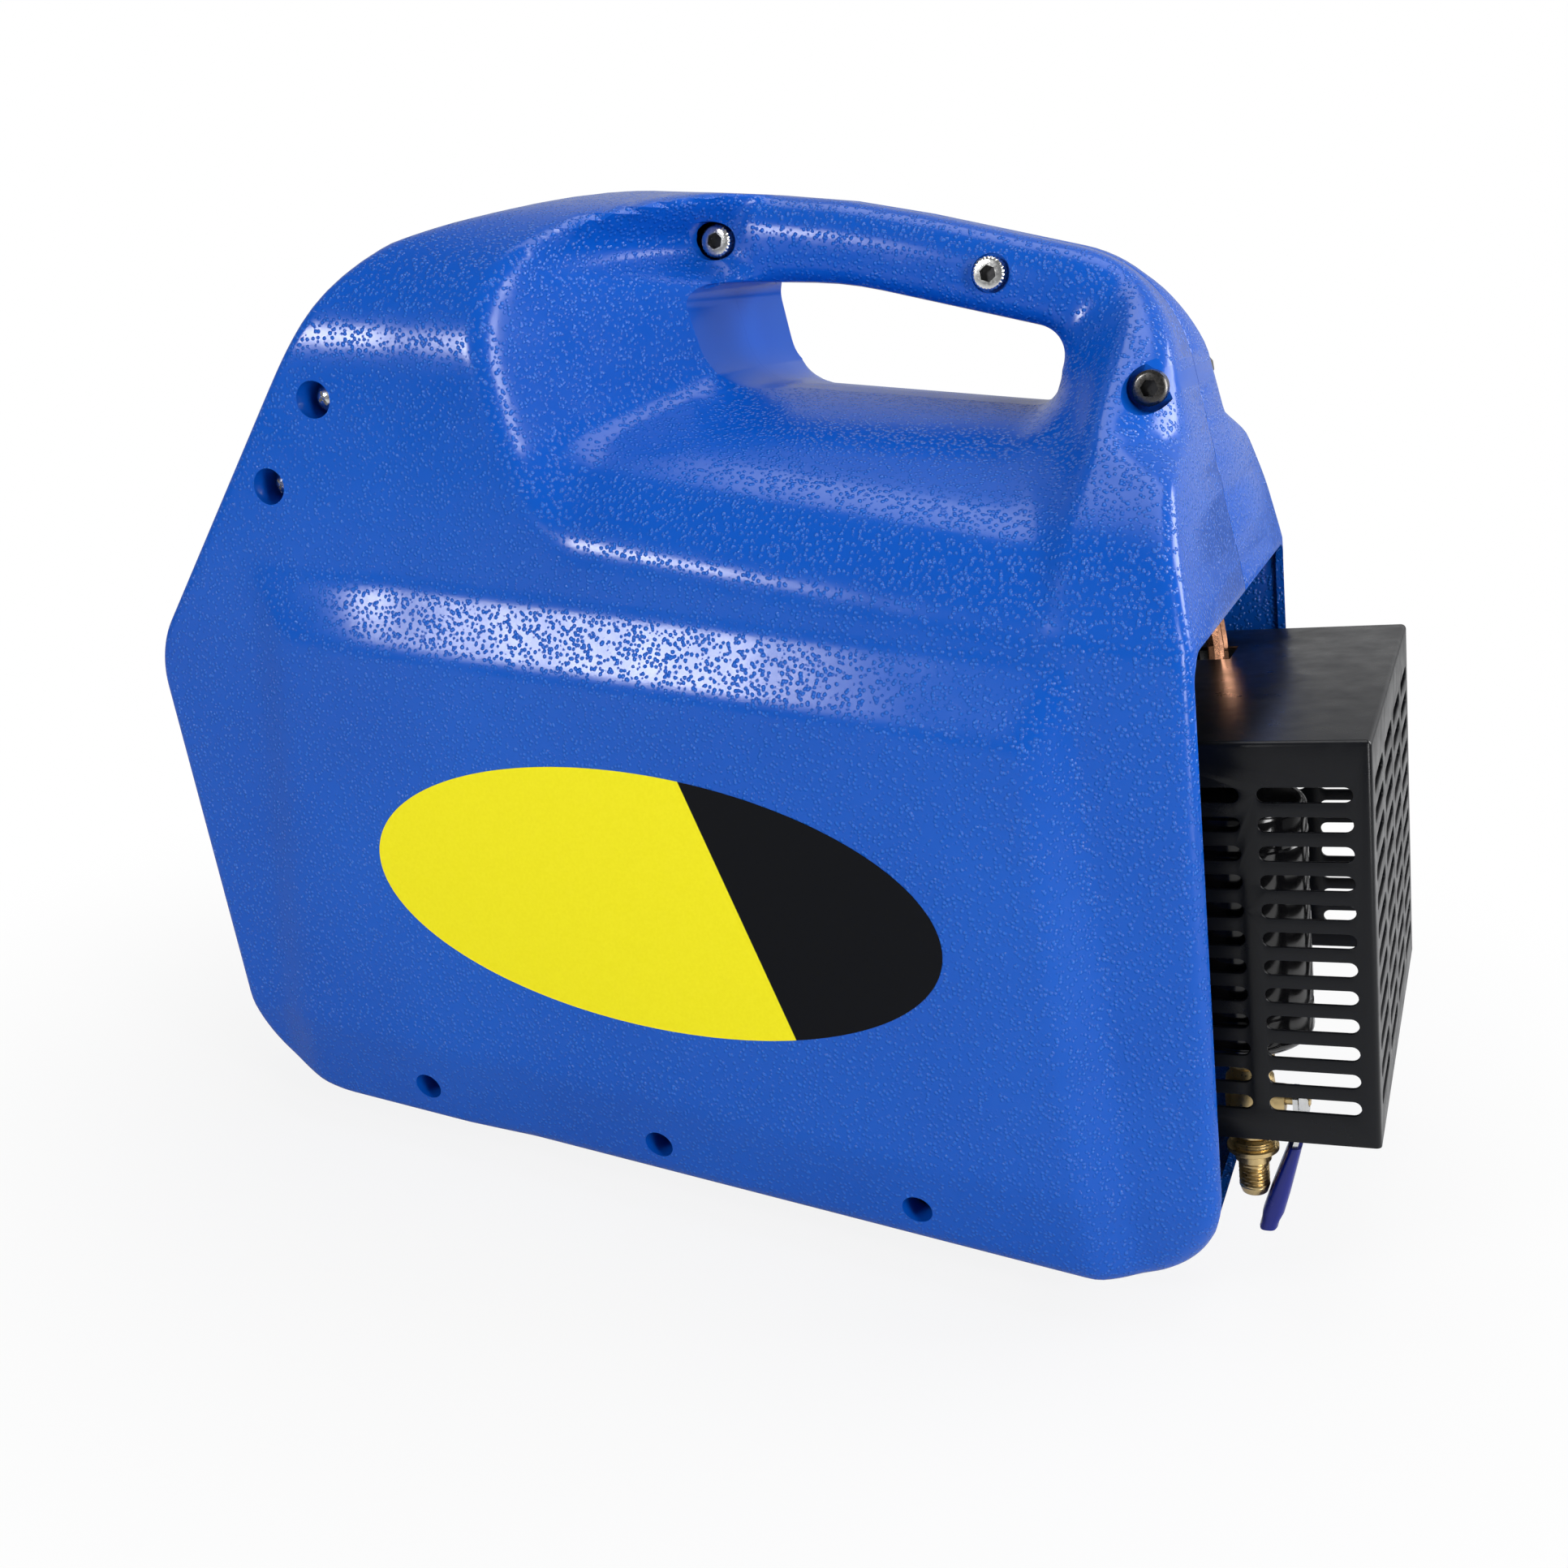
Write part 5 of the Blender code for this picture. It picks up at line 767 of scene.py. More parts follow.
def softened(x, z):
    """The plain relief, averaged over a small disc so that its creases are rounded."""
    total = np.zeros(x.shape)
    places = [(0, 0)] + [(share * math.cos(a), share * math.sin(a)) for share in (0.5, 1)
                         for a in np.arange(0, 2 * math.pi, math.pi / 4)]
    for dx, dz in places:
        px, pz = x + SOFTEN * dx, z + SOFTEN * dz
        total += soft_min(side_panel(px, pz), scoop(px, pz), SOFT_CREASE)
    return total / len(places)


def rim_curve(half, distance, reach, drop, power):
    t = np.clip(1 - distance / reach, 0, 1)
    return half - drop * (1 - (1 - t ** power) ** (1 / power))


def half_width(x, z, outline, hole):
    """Half width of the case at each point of its side view."""
    edge, _ = distance_to(outline, x, z)
    opening, _ = distance_to(hole, x, z)
    half = softened(x, z)
    rear = soft_ramp(z, REAR_ROUND_Z, REAR_ROUND_BLEND) * ramp(x, REAR_ROUND_X, REAR_ROUND_X_BLEND)
    rim = LOW_RIM + (RIM - LOW_RIM) * soft_ramp(z, RIM_Z, RIM_BLEND)
    rim = rim - (rim - FRONT_RIM) * ramp(-x, -FRONT_RIM_X, FRONT_RIM_BLEND)
    plain = np.minimum(rim, half - EDGE_HALF)
    drop = np.maximum(np.minimum(rim + REAR_ROUND * rear, half - EDGE_HALF - REAR_EDGE * rear), plain)
    drop = np.where(rear > 0, drop, plain)
    slim = ramp(-half, -2.3 * HANDLE_HALF, 0.6 * HANDLE_HALF)
    drop = drop * (1 - slim) + np.minimum(drop, HANDLE_RIM) * slim
    crown = soft_ramp(z, CROWN_START, CROWN_BLEND) * ramp(-x, -CROWN_X, CROWN_X_BLEND)
    drop = drop + (half - EDGE_HALF - drop) * crown
    reach = rim + 0.6 * REAR_ROUND * rear
    half = rim_curve(half, edge, reach + (CROWN_REACH - reach) * crown, drop, RIM_POWER)
    under = ramp(-half, -HANDLE_HALF - RIM, HANDLE_UNDER) * ramp(z, SILL_TOP - SILL_BLEND, HANDLE_HALF)
    half = rim_curve(half, opening, HANDLE_UNDER, HANDLE_UNDER * under, 2)
    sill = ramp(-z, -SILL_TOP, SILL_BLEND) * ramp(x, SILL_FRONT, SILL_FRONT_BLEND)
    sill = sill * ramp(-x, -SILL_REAR, SILL_REAR_BLEND)
    return rim_curve(half, opening, SILL_REACH, np.maximum(half - SILL_HALF, 0) * sill, 2)


def inward(outline, distance):
    """The outline moved inwards by a distance."""
    normal = np.roll(outline, -1, axis=0) - np.roll(outline, 1, axis=0)
    normal = np.stack([normal[:, 1], -normal[:, 0]], axis=1)
    normal /= np.linalg.norm(normal, axis=1)[:, None]
    middle = outline.mean(axis=0)
    normal *= np.sign(((middle - outline) * normal).sum(axis=1).mean())
    return outline + normal * distance


def fine_relief():
    """The case's side view as places, triangles and half widths, fine enough for smooth light."""
    corners = (NOSE, SHOULDER, CROWN, REAR_SHOULDER, REAR_BREAK, REAR_FOOT, FRONT_FOOT)
    outline = inward(resampled(rounded_outline(corners), FINE), INSET)
    hole = resampled(rounded_outline(HOLE_CORNERS), FINE)
    rings = [inward(outline, d * MM) for d in EDGE_RINGS]
    rings += [inward(hole, -d * MM) for d in HOLE_RINGS]
    across = np.arange(NOSE[0], REAR_FOOT[0], FINE)
    rows = np.arange(FOOT_HEIGHT, SHOULDER[1], FINE)
    grid_x, grid_z = np.meshgrid(across, rows)
    grid = np.stack([grid_x.ravel(), grid_z.ravel()], axis=1)
    edge, inside = distance_to(outline, grid[:, 0], grid[:, 1])
    opening, in_hole = distance_to(hole, grid[:, 0], grid[:, 1])
    grid = grid[inside & ~in_hole & (edge > GRID_FROM_EDGE) & (opening > GRID_FROM_HOLE)]
    free = np.concatenate([*rings, grid])
    edge, inside = distance_to(outline, free[:, 0], free[:, 1])
    opening, in_hole = distance_to(hole, free[:, 0], free[:, 1])
    free = free[inside & ~in_hole & (edge > 0.3 * MM) & (opening > 0.4 * MM)]
    points = [Vector(p) for p in np.concatenate([outline, hole, free])]
    count = len(outline)
    loops = [(n, (n + 1) % count) for n in range(count)]
    loops += [(count + n, count + (n + 1) % len(hole)) for n in range(len(hole))]
    found = geometry.delaunay_2d_cdt(points, loops, [], 0, 1e-7)
    spots = np.array([tuple(p) for p in found[0]])
    faces = np.array([tuple(face) for face in found[2]])
    centres = spots[faces].mean(axis=1)
    _, inside = distance_to(outline, centres[:, 0], centres[:, 1])
    _, in_hole = distance_to(hole, centres[:, 0], centres[:, 1])
    half = half_width(spots[:, 0], spots[:, 1], outline, hole) - INSET
    return spots, faces[inside & ~in_hole], half


def sheet_of(relief, side, inset):
    spots, faces, half = relief
    bm = bmesh.new()
    verts = [bm.verts.new((x, side * (y - inset), z)) for (x, z), y in zip(spots, half)]
    for face in faces:
        bm.faces.new([verts[n] for n in face])
    return bm


def skin_mesh(relief, side):
    """One half of the case as an open skin with its rim, given a wall.

    The outer rim ends at the seam in a small rounding, so that the two halves show a fine groove;
    in the hand hole the halves close on each other."""
    bm = sheet_of(relief, side, 0)
    rim = [edge for edge in bm.edges if edge.is_boundary]
    into = {}
    for edge in rim:
        start, end = edge.verts
        normal = Vector((end.co.z - start.co.z, 0, start.co.x - end.co.x)).normalized()
        if normal.dot(edge.link_faces[0].calc_center_median() - start.co) < 0:
            normal.negate()
        for vert in edge.verts:
            into[vert] = into.get(vert, Vector()) + normal
    hole = resampled(rounded_outline(HOLE_CORNERS), FINE)
    verts = list(into)
    away, _ = distance_to(hole, np.array([v.co.x for v in verts]), np.array([v.co.z for v in verts]))
    in_hole = {vert for vert, reach in zip(verts, away) if reach < 0.1 * MM}
    upper = {vert: vert for vert in into}
    for depth, step in ((SEAM_ROUND, 0), (SEAM_ROUND / 3, SEAM_ROUND / 3), (0, SEAM_ROUND)):
        lower = {}
        for vert, normal in into.items():
            closed = vert in in_hole
            place = vert.co + normal.normalized() * (0 if closed else step)
            end = SEAM_CLOSED if closed else GAP / 2
            lower[vert] = bm.verts.new((place.x, side * (end + depth), place.z))
        for edge in rim:
            start, end = edge.verts
            bm.faces.new((upper[start], upper[end], lower[end], lower[start]))
        upper = lower
    mesh = mesh_from(bm, "skin")
    total = sum(face.normal.y * face.area for face in mesh.polygons)
    if total * side < 0:
        mesh.flip_normals()
    return with_modifiers(mesh, ("SOLIDIFY", dict(thickness=WALL, offset=-1, use_even_offset=False)))


def side_cylinders(side, items, sides=48):
    """Cylinders across the case, each a place, a radius and the half widths it starts and ends at."""
    meshes = []
    for at, radius, start, end in items:
        low, high = sorted((side * start, side * end))
        meshes.append(cylinder(radius, low, high, at, "Y", sides))
    return meshes


def opening_block(matrix, half_x, low_y, high_y, depth_in, depth_out):
    middle = (low_y + high_y) / 2
    reach = (high_y - low_y) / 2
    corners = [(-half_x, middle - reach, OPENING_CORNER), (half_x, middle - reach, OPENING_CORNER),
               (half_x, middle + reach, OPENING_CORNER), (-half_x, middle + reach, OPENING_CORNER)]
    mesh = prism([tuple(p) for p in rounded_outline(corners)], -depth_in, depth_out)
    mesh.transform(matrix)
    return mesh


def case_openings():
    lean = math.cos(REAR_LEAN)
    origin = REAR.translation.z
    low, high = (REAR_OPENING_LOW - origin) / lean, (REAR_OPENING_TOP - origin) / lean
    blocks = [opening_block(REAR, REAR_OPENING_HALF, low, high, *REAR_CUT)]
    for name in ("upper", "lower"):
        blocks.append(opening_block(FACES[name], FRONT_OPENING_HALF, -FRONT_OPENING_REACH,
                                    FRONT_OPENING_REACH, *FRONT_CUT))
    return blocks


def recesses():
    """Each recess in the case's side: its place, its radius and the half width of its floor."""
    places = [(spot, BOLT_RECESS, HANDLE_HALF - BOLT_SEAT) for spot in HANDLE_BOLTS]
    places.append((REAR_BOLT, REAR_BOLT_BORE, REAR_BOLT_FLOOR))
    places += [(spot, PANEL_SCREW_BORE, PANEL_SCREW_FLOOR) for spot in PANEL_SCREWS]
    places += [((x, BASE_SCREW_Z), BASE_SCREW_BORE, BASE_SCREW_FLOOR) for x in BASE_SCREW_X]
    return places


def build_case():
    """Both moulded halves, with their bosses, recesses and openings."""
    relief = fine_relief()
    far = BELLY_HALF + WALL
    flange = FRONT_OPENING_HALF + PANEL_MARGIN
    for name, node, side in (("near_case", "near_shell", -1), ("far_case", "far_shell", 1)):
        bosses = [(spot, BOLT + BOSS_WALL, GAP, far) for spot in HANDLE_BOLTS]
        bosses.append((REAR_BOLT, REAR_BOLT_BORE + RECESS_WALL, GAP, far))
        bosses += [(spot, PANEL_SCREW_BORE + RECESS_WALL, flange + GAP, far) for spot in PANEL_SCREWS]
        bosses += [((x, BASE_SCREW_Z), BASE_SCREW_BORE + RECESS_WALL, BASE_HALF + GAP, far)
                   for x in BASE_SCREW_X]
        bores = [(spot, BOLT + GAP, -1 * MM, far) for spot in (*HANDLE_BOLTS, REAR_BOLT)]
        bores += [(spot, SCREW + GAP, flange, far) for spot in PANEL_SCREWS]
        bores += [((x, BASE_SCREW_Z), SCREW + GAP, BASE_HALF, far) for x in BASE_SCREW_X]
        seats = [(spot, radius, floor, far) for spot, radius, floor in recesses()]
        block = sheet_of(relief, side, WALL / 2)
        moved = bmesh.ops.extrude_face_region(block, geom=list(block.faces), use_keep_orig=True)["geom"]
        for item in moved:
            if isinstance(item, bmesh.types.BMVert):
                item.co.y = 0
        inside = mesh_from(block, "inside")
        boss_mesh = cut_mesh(joined("bosses", side_cylinders(side, bosses)), [("INTERSECT", inside)])
        studs = [cylinder(STUD_RADIUS + GAP, 0, FOOT_HEIGHT + 2 * WALL, (x, side * FOOT_Y)) for x in FOOT_X]
        steps = [("UNION", boss_mesh), ("DIFFERENCE", joined("openings", case_openings())),
                 ("DIFFERENCE", joined("bores", side_cylinders(side, bores) + studs)),
                 ("DIFFERENCE", joined("seats", side_cylinders(side, seats)))]
        mesh = cut_mesh(skin_mesh(relief, side), steps)
        borders = paint_case(mesh)
        add_piece(name, mesh, BLUE, "machine", (node,), smooth=38)
        for edge in mesh.edges:
            if tuple(sorted(edge.vertices)) in borders:
                edge.use_edge_sharp = True


def paint_case(mesh):
    """Grain all over but on the hand hole's wall and in the recesses, and the edges between the two."""
    mesh.materials.clear()
    mesh.materials.append(BLUE)
    mesh.materials.append(BLUE_SMOOTH)
    hole = resampled(rounded_outline(HOLE_CORNERS), FINE)
    count = len(mesh.polygons)
    centres = np.empty(count * 3)
    normals = np.empty(count * 3)
    mesh.polygons.foreach_get("center", centres)
    mesh.polygons.foreach_get("normal", normals)
    centres, normals = centres.reshape(-1, 3), normals.reshape(-1, 3)
    near_hole, _ = distance_to(hole, centres[:, 0], centres[:, 2])
    tunnel = (near_hole < 0.6 * MM) & (np.abs(normals[:, 1]) < 0.3)
    recess = np.zeros(count, bool)
    for (x, z), radius, _ in recesses():
        recess |= np.hypot(centres[:, 0] - x, centres[:, 2] - z) < radius + 0.1 * MM
    smooth = tunnel | recess
    mesh.polygons.foreach_set("material_index", smooth.astype(np.int32))
    border = {}
    for face in mesh.polygons:
        for key in face.edge_keys:
            border.setdefault(key, set()).add(bool(smooth[face.index]))
    return {key for key, kinds in border.items() if len(kinds) == 2}


def build_label():
    """The bare film label on the near side."""
    thick = 0.2 * MM
    sides = 160
    outline = [(LABEL_AT[0] + LABEL_HALF[0] * math.cos(2 * math.pi * n / sides),
                LABEL_AT[1] + LABEL_HALF[1] * math.sin(2 * math.pi * n / sides)) for n in range(sides)]
    mesh = prism(outline, 0, thick)
    turn = Matrix(((1, 0, 0, 0), (0, 0, -1, -BELLY_HALF + INSET), (0, 1, 0, 0), (0, 0, 0, 1)))
    mesh.transform(turn)
    add_piece("side_label", mesh, LABEL)


# Guard box


def slot_prism(centre, length, height, low, high, along, up, through, ends=10):
    along, up, through = Vector(along), Vector(up), Vector(through)
    outline = []
    radius = height / 2
    for side in (1, -1):
        for n in range(ends + 1):
            angle = -math.pi / 2 + math.pi * n / ends
            outline.append((side * (length / 2 - radius + radius * math.cos(angle)),
                            side * radius * math.sin(angle)))
    mesh = prism(outline, low, high)
    matrix = Matrix((along, up, through)).transposed().to_4x4()
    mesh.transform(Matrix.Translation(centre) @ matrix)
    return mesh


def build_guard_box():
    """The folded sheet box with its slots, rounded bends and softened edges."""
    outer = box_mesh((-BOX_HALF, BOX_LOW, BOX_IN), (BOX_HALF, BOX_TOP, BOX_OUT))
    bm = bmesh.new()
    bm.from_mesh(outer)
    edges = [e for e in bm.edges if not all(abs(v.co.y - BOX_LOW) < 1e-7 for v in e.verts)
             and not all(abs(v.co.z - BOX_IN) < 1e-7 for v in e.verts)]
    bmesh.ops.bevel(bm, geom=edges, offset=2 * MM, segments=5, profile=0.5, affect="EDGES")
    outer = mesh_from(bm, "outer")
    wide, top = BOX_HALF - SHEET, BOX_TOP - SHEET
    hollow = box_mesh((-wide, BOX_LOW - 10 * MM, BOX_IN + SHEET), (wide, top, BOX_OUT - SHEET))
    mouth = box_mesh((-wide + BOX_FLANGE, BOX_LOW - 10 * MM, BOX_IN - 5 * MM),
                     (wide - BOX_FLANGE, top - BOX_FLANGE, BOX_IN + 5 * MM))
    notch = box_mesh((TUBE_PASS[0] - 2 * TUBE_RADIUS, top - 2 * BOX_FLANGE, BOX_IN - 5 * MM),
                     (TUBE_PASS[1] + 2 * TUBE_RADIUS, BOX_TOP + 5 * MM, TUBE_DEPTH + 2 * TUBE_RADIUS))
    sides, ends = [], []
    first = BOX_OUT - SIDE_SLOT_MARGIN - SIDE_SLOT / 2
    for row in range(SLOT_ROWS):
        height = BOX_TOP - FIRST_SLOT - SLOT_PITCH * row
        for depth in (first, first - SIDE_SLOT - SIDE_SLOT_GAP):
            sides.append(slot_prism((0, height, depth), SIDE_SLOT, SLOT_HEIGHT, -BOX_HALF * 1.3,
                                    BOX_HALF * 1.3, (0, 0, 1), (0, 1, 0), (-1, 0, 0)))
        for n in range(END_SLOTS):
            across = END_SLOT_PITCH * (n - (END_SLOTS - 1) / 2)
            ends.append(slot_prism((across, height, BOX_OUT), END_SLOT, SLOT_HEIGHT, -5 * MM, 5 * MM,
                                   (1, 0, 0), (0, 1, 0), (0, 0, 1)))
    steps = [("DIFFERENCE", hollow), ("DIFFERENCE", mouth), ("DIFFERENCE", notch),
             ("DIFFERENCE", joined("slots", sides)), ("DIFFERENCE", joined("slots", ends))]
    mesh = cut_mesh(outer, steps, "EXACT")
    mesh = rounded(mesh, 0.22 * MM, 2, 50)
    add_piece("guard_cage", mesh, POWDER, "machine", ("guard_box",), REAR, 30)


# Inlet line


def thread(radius, pitch, depth, top, low):
    """Radius of a helical thread between two heights, for lathe."""

    def wave(angle, height, base):
        if base < radius - 1e-7 or not low < height < top:
            return base
        turn = (height / pitch + angle / (2 * math.pi)) % 1
        fade = min(1, (height - low) / pitch, (top - height) / pitch)
        return base - depth * fade * abs(2 * turn - 1)

    return wave


def hexagonal(across, top, low):
    """Radius of a hexagon across flats between two heights, for lathe."""

    def wave(angle, height, base):
        if not top >= height >= low:
            return base
        flat = (angle + math.pi / 6) % (math.pi / 3) - math.pi / 6
        return min(base, across / 2 / math.cos(flat))

    return wave


def line_matrix():
    """The inlet line's axis: local Z runs up the rear face."""
    return REAR @ Matrix.Translation((LINE_Y, 0, LINE_OUT)) @ Matrix.Rotation(-math.pi / 2, 4, "X")


def build_inlet():
    line = line_matrix()
    neck, dome, body = 8 * MM, 8 * MM, DRIER_RADIUS
    spread = body - neck / 2 - 1.2 * MM
    profile = [(0, DRIER_TOP + neck), (neck / 2 - 0.5 * MM, DRIER_TOP + neck),
               (neck / 2, DRIER_TOP + neck - 0.5 * MM), (neck / 2, DRIER_TOP + 2 * MM),
               (neck / 2 + 1.2 * MM, DRIER_TOP + 0.4 * MM)]
    for n in range(1, 13):
        angle = math.pi / 2 * (1 - n / 12)
        profile.append((neck / 2 + 1.2 * MM + spread * math.cos(angle),
                        DRIER_TOP - dome + dome * math.sin(angle)))
    for seam in (DRIER_TOP - dome - 10 * MM, DRIER_LOW + dome + 10 * MM):
        profile += [(body, seam + 1.2 * MM), (body - 0.5 * MM, seam + 0.5 * MM),
                    (body - 0.5 * MM, seam - 0.5 * MM), (body, seam - 1.2 * MM)]
    for n in range(12):
        angle = math.pi / 2 * n / 12
        profile.append((neck / 2 + 1.2 * MM + spread * math.cos(angle),
                        DRIER_LOW + dome - dome * math.sin(angle)))
    profile += [(neck / 2 + 1.2 * MM, DRIER_LOW - 0.2 * MM), (neck / 2, DRIER_LOW - 1 * MM),
                (neck / 2, DRIER_LOW - 4 * MM), (0, DRIER_LOW - 4 * MM)]
    canister = lathe("canister", profile, 72)
    add_piece("canister", canister, GLOSS_BLACK, "machine", ("filter_drier",), line, 30)
    top, seat = DRIER_LOW - 1 * MM, VALVE_Z + 1.5 * VALVE_HALF
    profile = [(0, DRIER_LOW - 4.3 * MM), (neck / 2 + GAP, DRIER_LOW - 4.3 * MM), (neck / 2 + GAP, top),
               (8.2 * MM, top), (9 * MM, top - 0.6 * MM), (9 * MM, seat + 0.6 * MM), (8.2 * MM, seat),
               (0, seat)]
    union = lathe("union_nut", profile, 72, hexagonal(UNION_ACROSS, top, seat))
    add_piece("union_nut", union, BRASS, "machine", ("drier_union",), line, 30)
    build_valve(line, seat)
    build_port(line)
    build_lever()


def build_valve(line, seat):
    ball = VALVE_HALF
    profile = [(0, seat - GAP), (6.4 * MM, seat - GAP), (7 * MM, seat - 0.9 * MM), (7 * MM, VALVE_Z + ball),
               (ball - 0.6 * MM, VALVE_Z + ball - 1 * MM)]
    for n in range(9):
        share = 1 - 2 * n / 8
        profile.append((ball - 0.5 * MM * share * share, VALVE_Z + (ball - 2 * MM) * share))
    profile += [(ball - 0.6 * MM, VALVE_Z - ball + 1 * MM), (7 * MM, VALVE_Z - ball),
                (7 * MM, PORT_RIM + 6.5 * MM), (6.6 * MM, PORT_RIM + 6 * MM), (0, PORT_RIM + 6 * MM)]
    body = lathe("valve", profile, 64)
    bonnet_top = LEVER_OUT - LINE_OUT - GAP - 2.5 * MM
    bonnet = [(0, bonnet_top), (5 * MM, bonnet_top), (5.5 * MM, bonnet_top - 0.5 * MM),
              (5.5 * MM, 1 * MM), (0, 1 * MM)]
    side = lathe("bonnet", bonnet, 48, hexagonal(BONNET_ACROSS, bonnet_top - 0.2 * MM, bonnet_top - 4 * MM))
    bore = cylinder(STEM_RADIUS + GAP, bonnet_top - 5.5 * MM, bonnet_top + 5 * MM)
    for mesh in (side, bore):
        mesh.transform(Matrix.Translation((0, 0, VALVE_Z)) @ Matrix.Rotation(math.pi / 2, 4, "X"))
    mesh = cut_mesh(body, [("UNION", side), ("DIFFERENCE", bore)], "EXACT")
    add_piece("valve_body", mesh, BRASS, "machine", ("ball_valve",), line, 30)


def build_port(line):
    """Flare port: a ribbed collar, the rim, a neck and the threaded spigot."""
    start = PORT_RIM + 5.9 * MM
    rim = PORT_COLLAR_RIM
    profile = [(0, start), (7.2 * MM, start), (7.6 * MM, start - 0.4 * MM)]
    for n in range(3):
        z = start - (0.6 + 1.0 * n) * MM
        profile += [(8 * MM, z), (8.3 * MM, z - 0.35 * MM), (7.9 * MM, z - 0.8 * MM)]
    profile += [(rim - 0.3 * MM, PORT_RIM + 2.1 * MM), (rim, PORT_RIM + 1.8 * MM),
                (rim, PORT_RIM + 0.3 * MM), (rim - 0.3 * MM, PORT_RIM),
                (6.4 * MM, PORT_RIM - 0.9 * MM), (6.4 * MM, PORT_RIM - 3.8 * MM),
                (5.2 * MM, PORT_RIM - 4.6 * MM), (PORT_RADIUS, PORT_RIM - 5 * MM)]
    spigot_top, spigot_low = PORT_RIM - 5 * MM, PORT_TIP + 2.6 * MM
    count = 60
    for n in range(1, count):
        profile.append((PORT_RADIUS, spigot_top + (spigot_low - spigot_top) * n / count))
    profile += [(5.4 * MM, spigot_low), (4.6 * MM, PORT_TIP + 0.2 * MM), (4.4 * MM, PORT_TIP),
                (3.1 * MM, PORT_TIP), (3 * MM, PORT_TIP + 0.2 * MM), (3 * MM, PORT_TIP + 12 * MM),
                (0, PORT_TIP + 12 * MM)]
    turn = thread(PORT_RADIUS, 1.35 * MM, 0.75 * MM, spigot_top, spigot_low)
    port = lathe("inlet_port", profile, 72, turn)
    add_piece("inlet_port", port, BRASS, "machine", ("flare_port",), line, 30)


def build_lever():
    pivot = REAR @ Matrix.Translation((LINE_Y, VALVE_Z, 0))
    stem_top = LEVER_OUT + LEVER_THICK + 4 * MM
    stem_low = LEVER_OUT - 8 * MM
    profile = [(0, stem_top), (2.1 * MM, stem_top), (STEM_RADIUS, stem_top - 0.4 * MM)]
    turns = 24
    for n in range(1, turns):
        profile.append((STEM_RADIUS, stem_top - 0.4 * MM - 5 * MM * n / turns))
    profile += [(STEM_RADIUS, stem_low), (0, stem_low)]
    spin = thread(STEM_RADIUS, 0.8 * MM, 0.3 * MM, stem_top - 0.4 * MM, stem_top - 5 * MM)
    add_piece("stem", lathe("stem", profile, 48, spin), BRASS, "valve_lever", ("valve_stem",), pivot, 30)
    low, high = LEVER_OUT + LEVER_THICK + GAP, stem_top - 0.5 * MM
    profile = [(STEM_RADIUS + GAP, high), (4.6 * MM, high), (5 * MM, high - 0.4 * MM),
               (5 * MM, low + 0.1 * MM), (4.9 * MM, low), (STEM_RADIUS + GAP, low)]
    nut = lathe("nut", profile + profile[:1], 48, hexagonal(NUT_ACROSS, high, low))
    add_piece("stem_nut", nut, ZINC, "valve_lever", ("lever_nut",), pivot, 30)
    build_sleeve(pivot)


def leaned(mesh, bend, lean):
    """A mesh that runs down along -Y, leaned towards the machine below the bend."""
    bm = bmesh.new()
    bm.from_mesh(mesh)
    bmesh.ops.bisect_plane(bm, geom=[*bm.verts, *bm.edges, *bm.faces],
                           plane_co=(0, -bend, 0), plane_no=(0, 1, 0))
    for vert in bm.verts:
        vert.co.z += lean * min(vert.co.y + bend, 0)
    return mesh_from(bm, mesh.name)


def sleeve_ring(bm, half, thick, at, points=28):
    """A ring of a flattened tube: a rounded oblong across X and Z at a height along Y."""
    ring = []
    for n in range(points):
        angle = 2 * math.pi * n / points
        across, over = math.cos(angle), math.sin(angle)
        x = half * math.copysign(abs(across) ** 0.45, across)
        z = thick * math.copysign(abs(over) ** 0.7, over)
        ring.append(bm.verts.new((x, at, z)))
    return ring


def sleeve_mesh():
    """The soft sleeve: a flattened tube that swells a little, hollow at its end."""
    half, thick = LEVER_WIDTH / 2 + SLEEVE_WALL + GAP, LEVER_THICK / 2 + SLEEVE_WALL + GAP
    start, end = -LEVER_BEND - 2.5 * MM, -LEVER_LENGTH - SLEEVE_WALL
    length = start - end
    outer = [(0, 0.97, 1), (0.02, 1, 1.05), (0.25, 1.02, 1.25), (0.55, 1.02, 1.5), (0.8, 0.97, 1.6),
             (0.92, 0.92, 1.3), (0.98, 0.95, 1.35), (1, 0.93, 1.25)]
    inner = [(1, 0.78, 0.8), (0.97, 0.76, 0.75), (0.95, 0.72, 0.6)]
    bm = bmesh.new()
    rings = [sleeve_ring(bm, half * wide, thick * deep, start - length * share)
             for share, wide, deep in outer + inner]
    for upper, lower in zip(rings, rings[1:]):
        for n in range(len(upper)):
            m = (n + 1) % len(upper)
            bm.faces.new((upper[n], lower[n], lower[m], upper[m]))
    bm.faces.new(rings[0])
    bm.faces.new(rings[-1])
    return mesh_from(bm, "sleeve")


def build_sleeve(pivot):
    """The lever's soft sleeve, leaned with the lever."""
    place = pivot @ Matrix.Translation((0, 0, LEVER_OUT + LEVER_THICK / 2))
    add_piece("grip_sleeve", leaned(sleeve_mesh(), LEVER_BEND, LEVER_LEAN), VINYL, "valve_lever",
              ("lever_sleeve",), place, 50)


# Gauges


def printed(text, size, thick):
    """A generic number as a thin raised print about its own middle."""
    curve = bpy.data.curves.new("number", "FONT")
    curve.body = text
    curve.size = size
    curve.extrude = thick / 2
    curve.align_x = "CENTER"
    curve.align_y = "CENTER"
    obj = new_object("number", curve)
    mesh = evaluated_mesh(obj)
    bpy.data.objects.remove(obj, do_unlink=True)
    return mesh


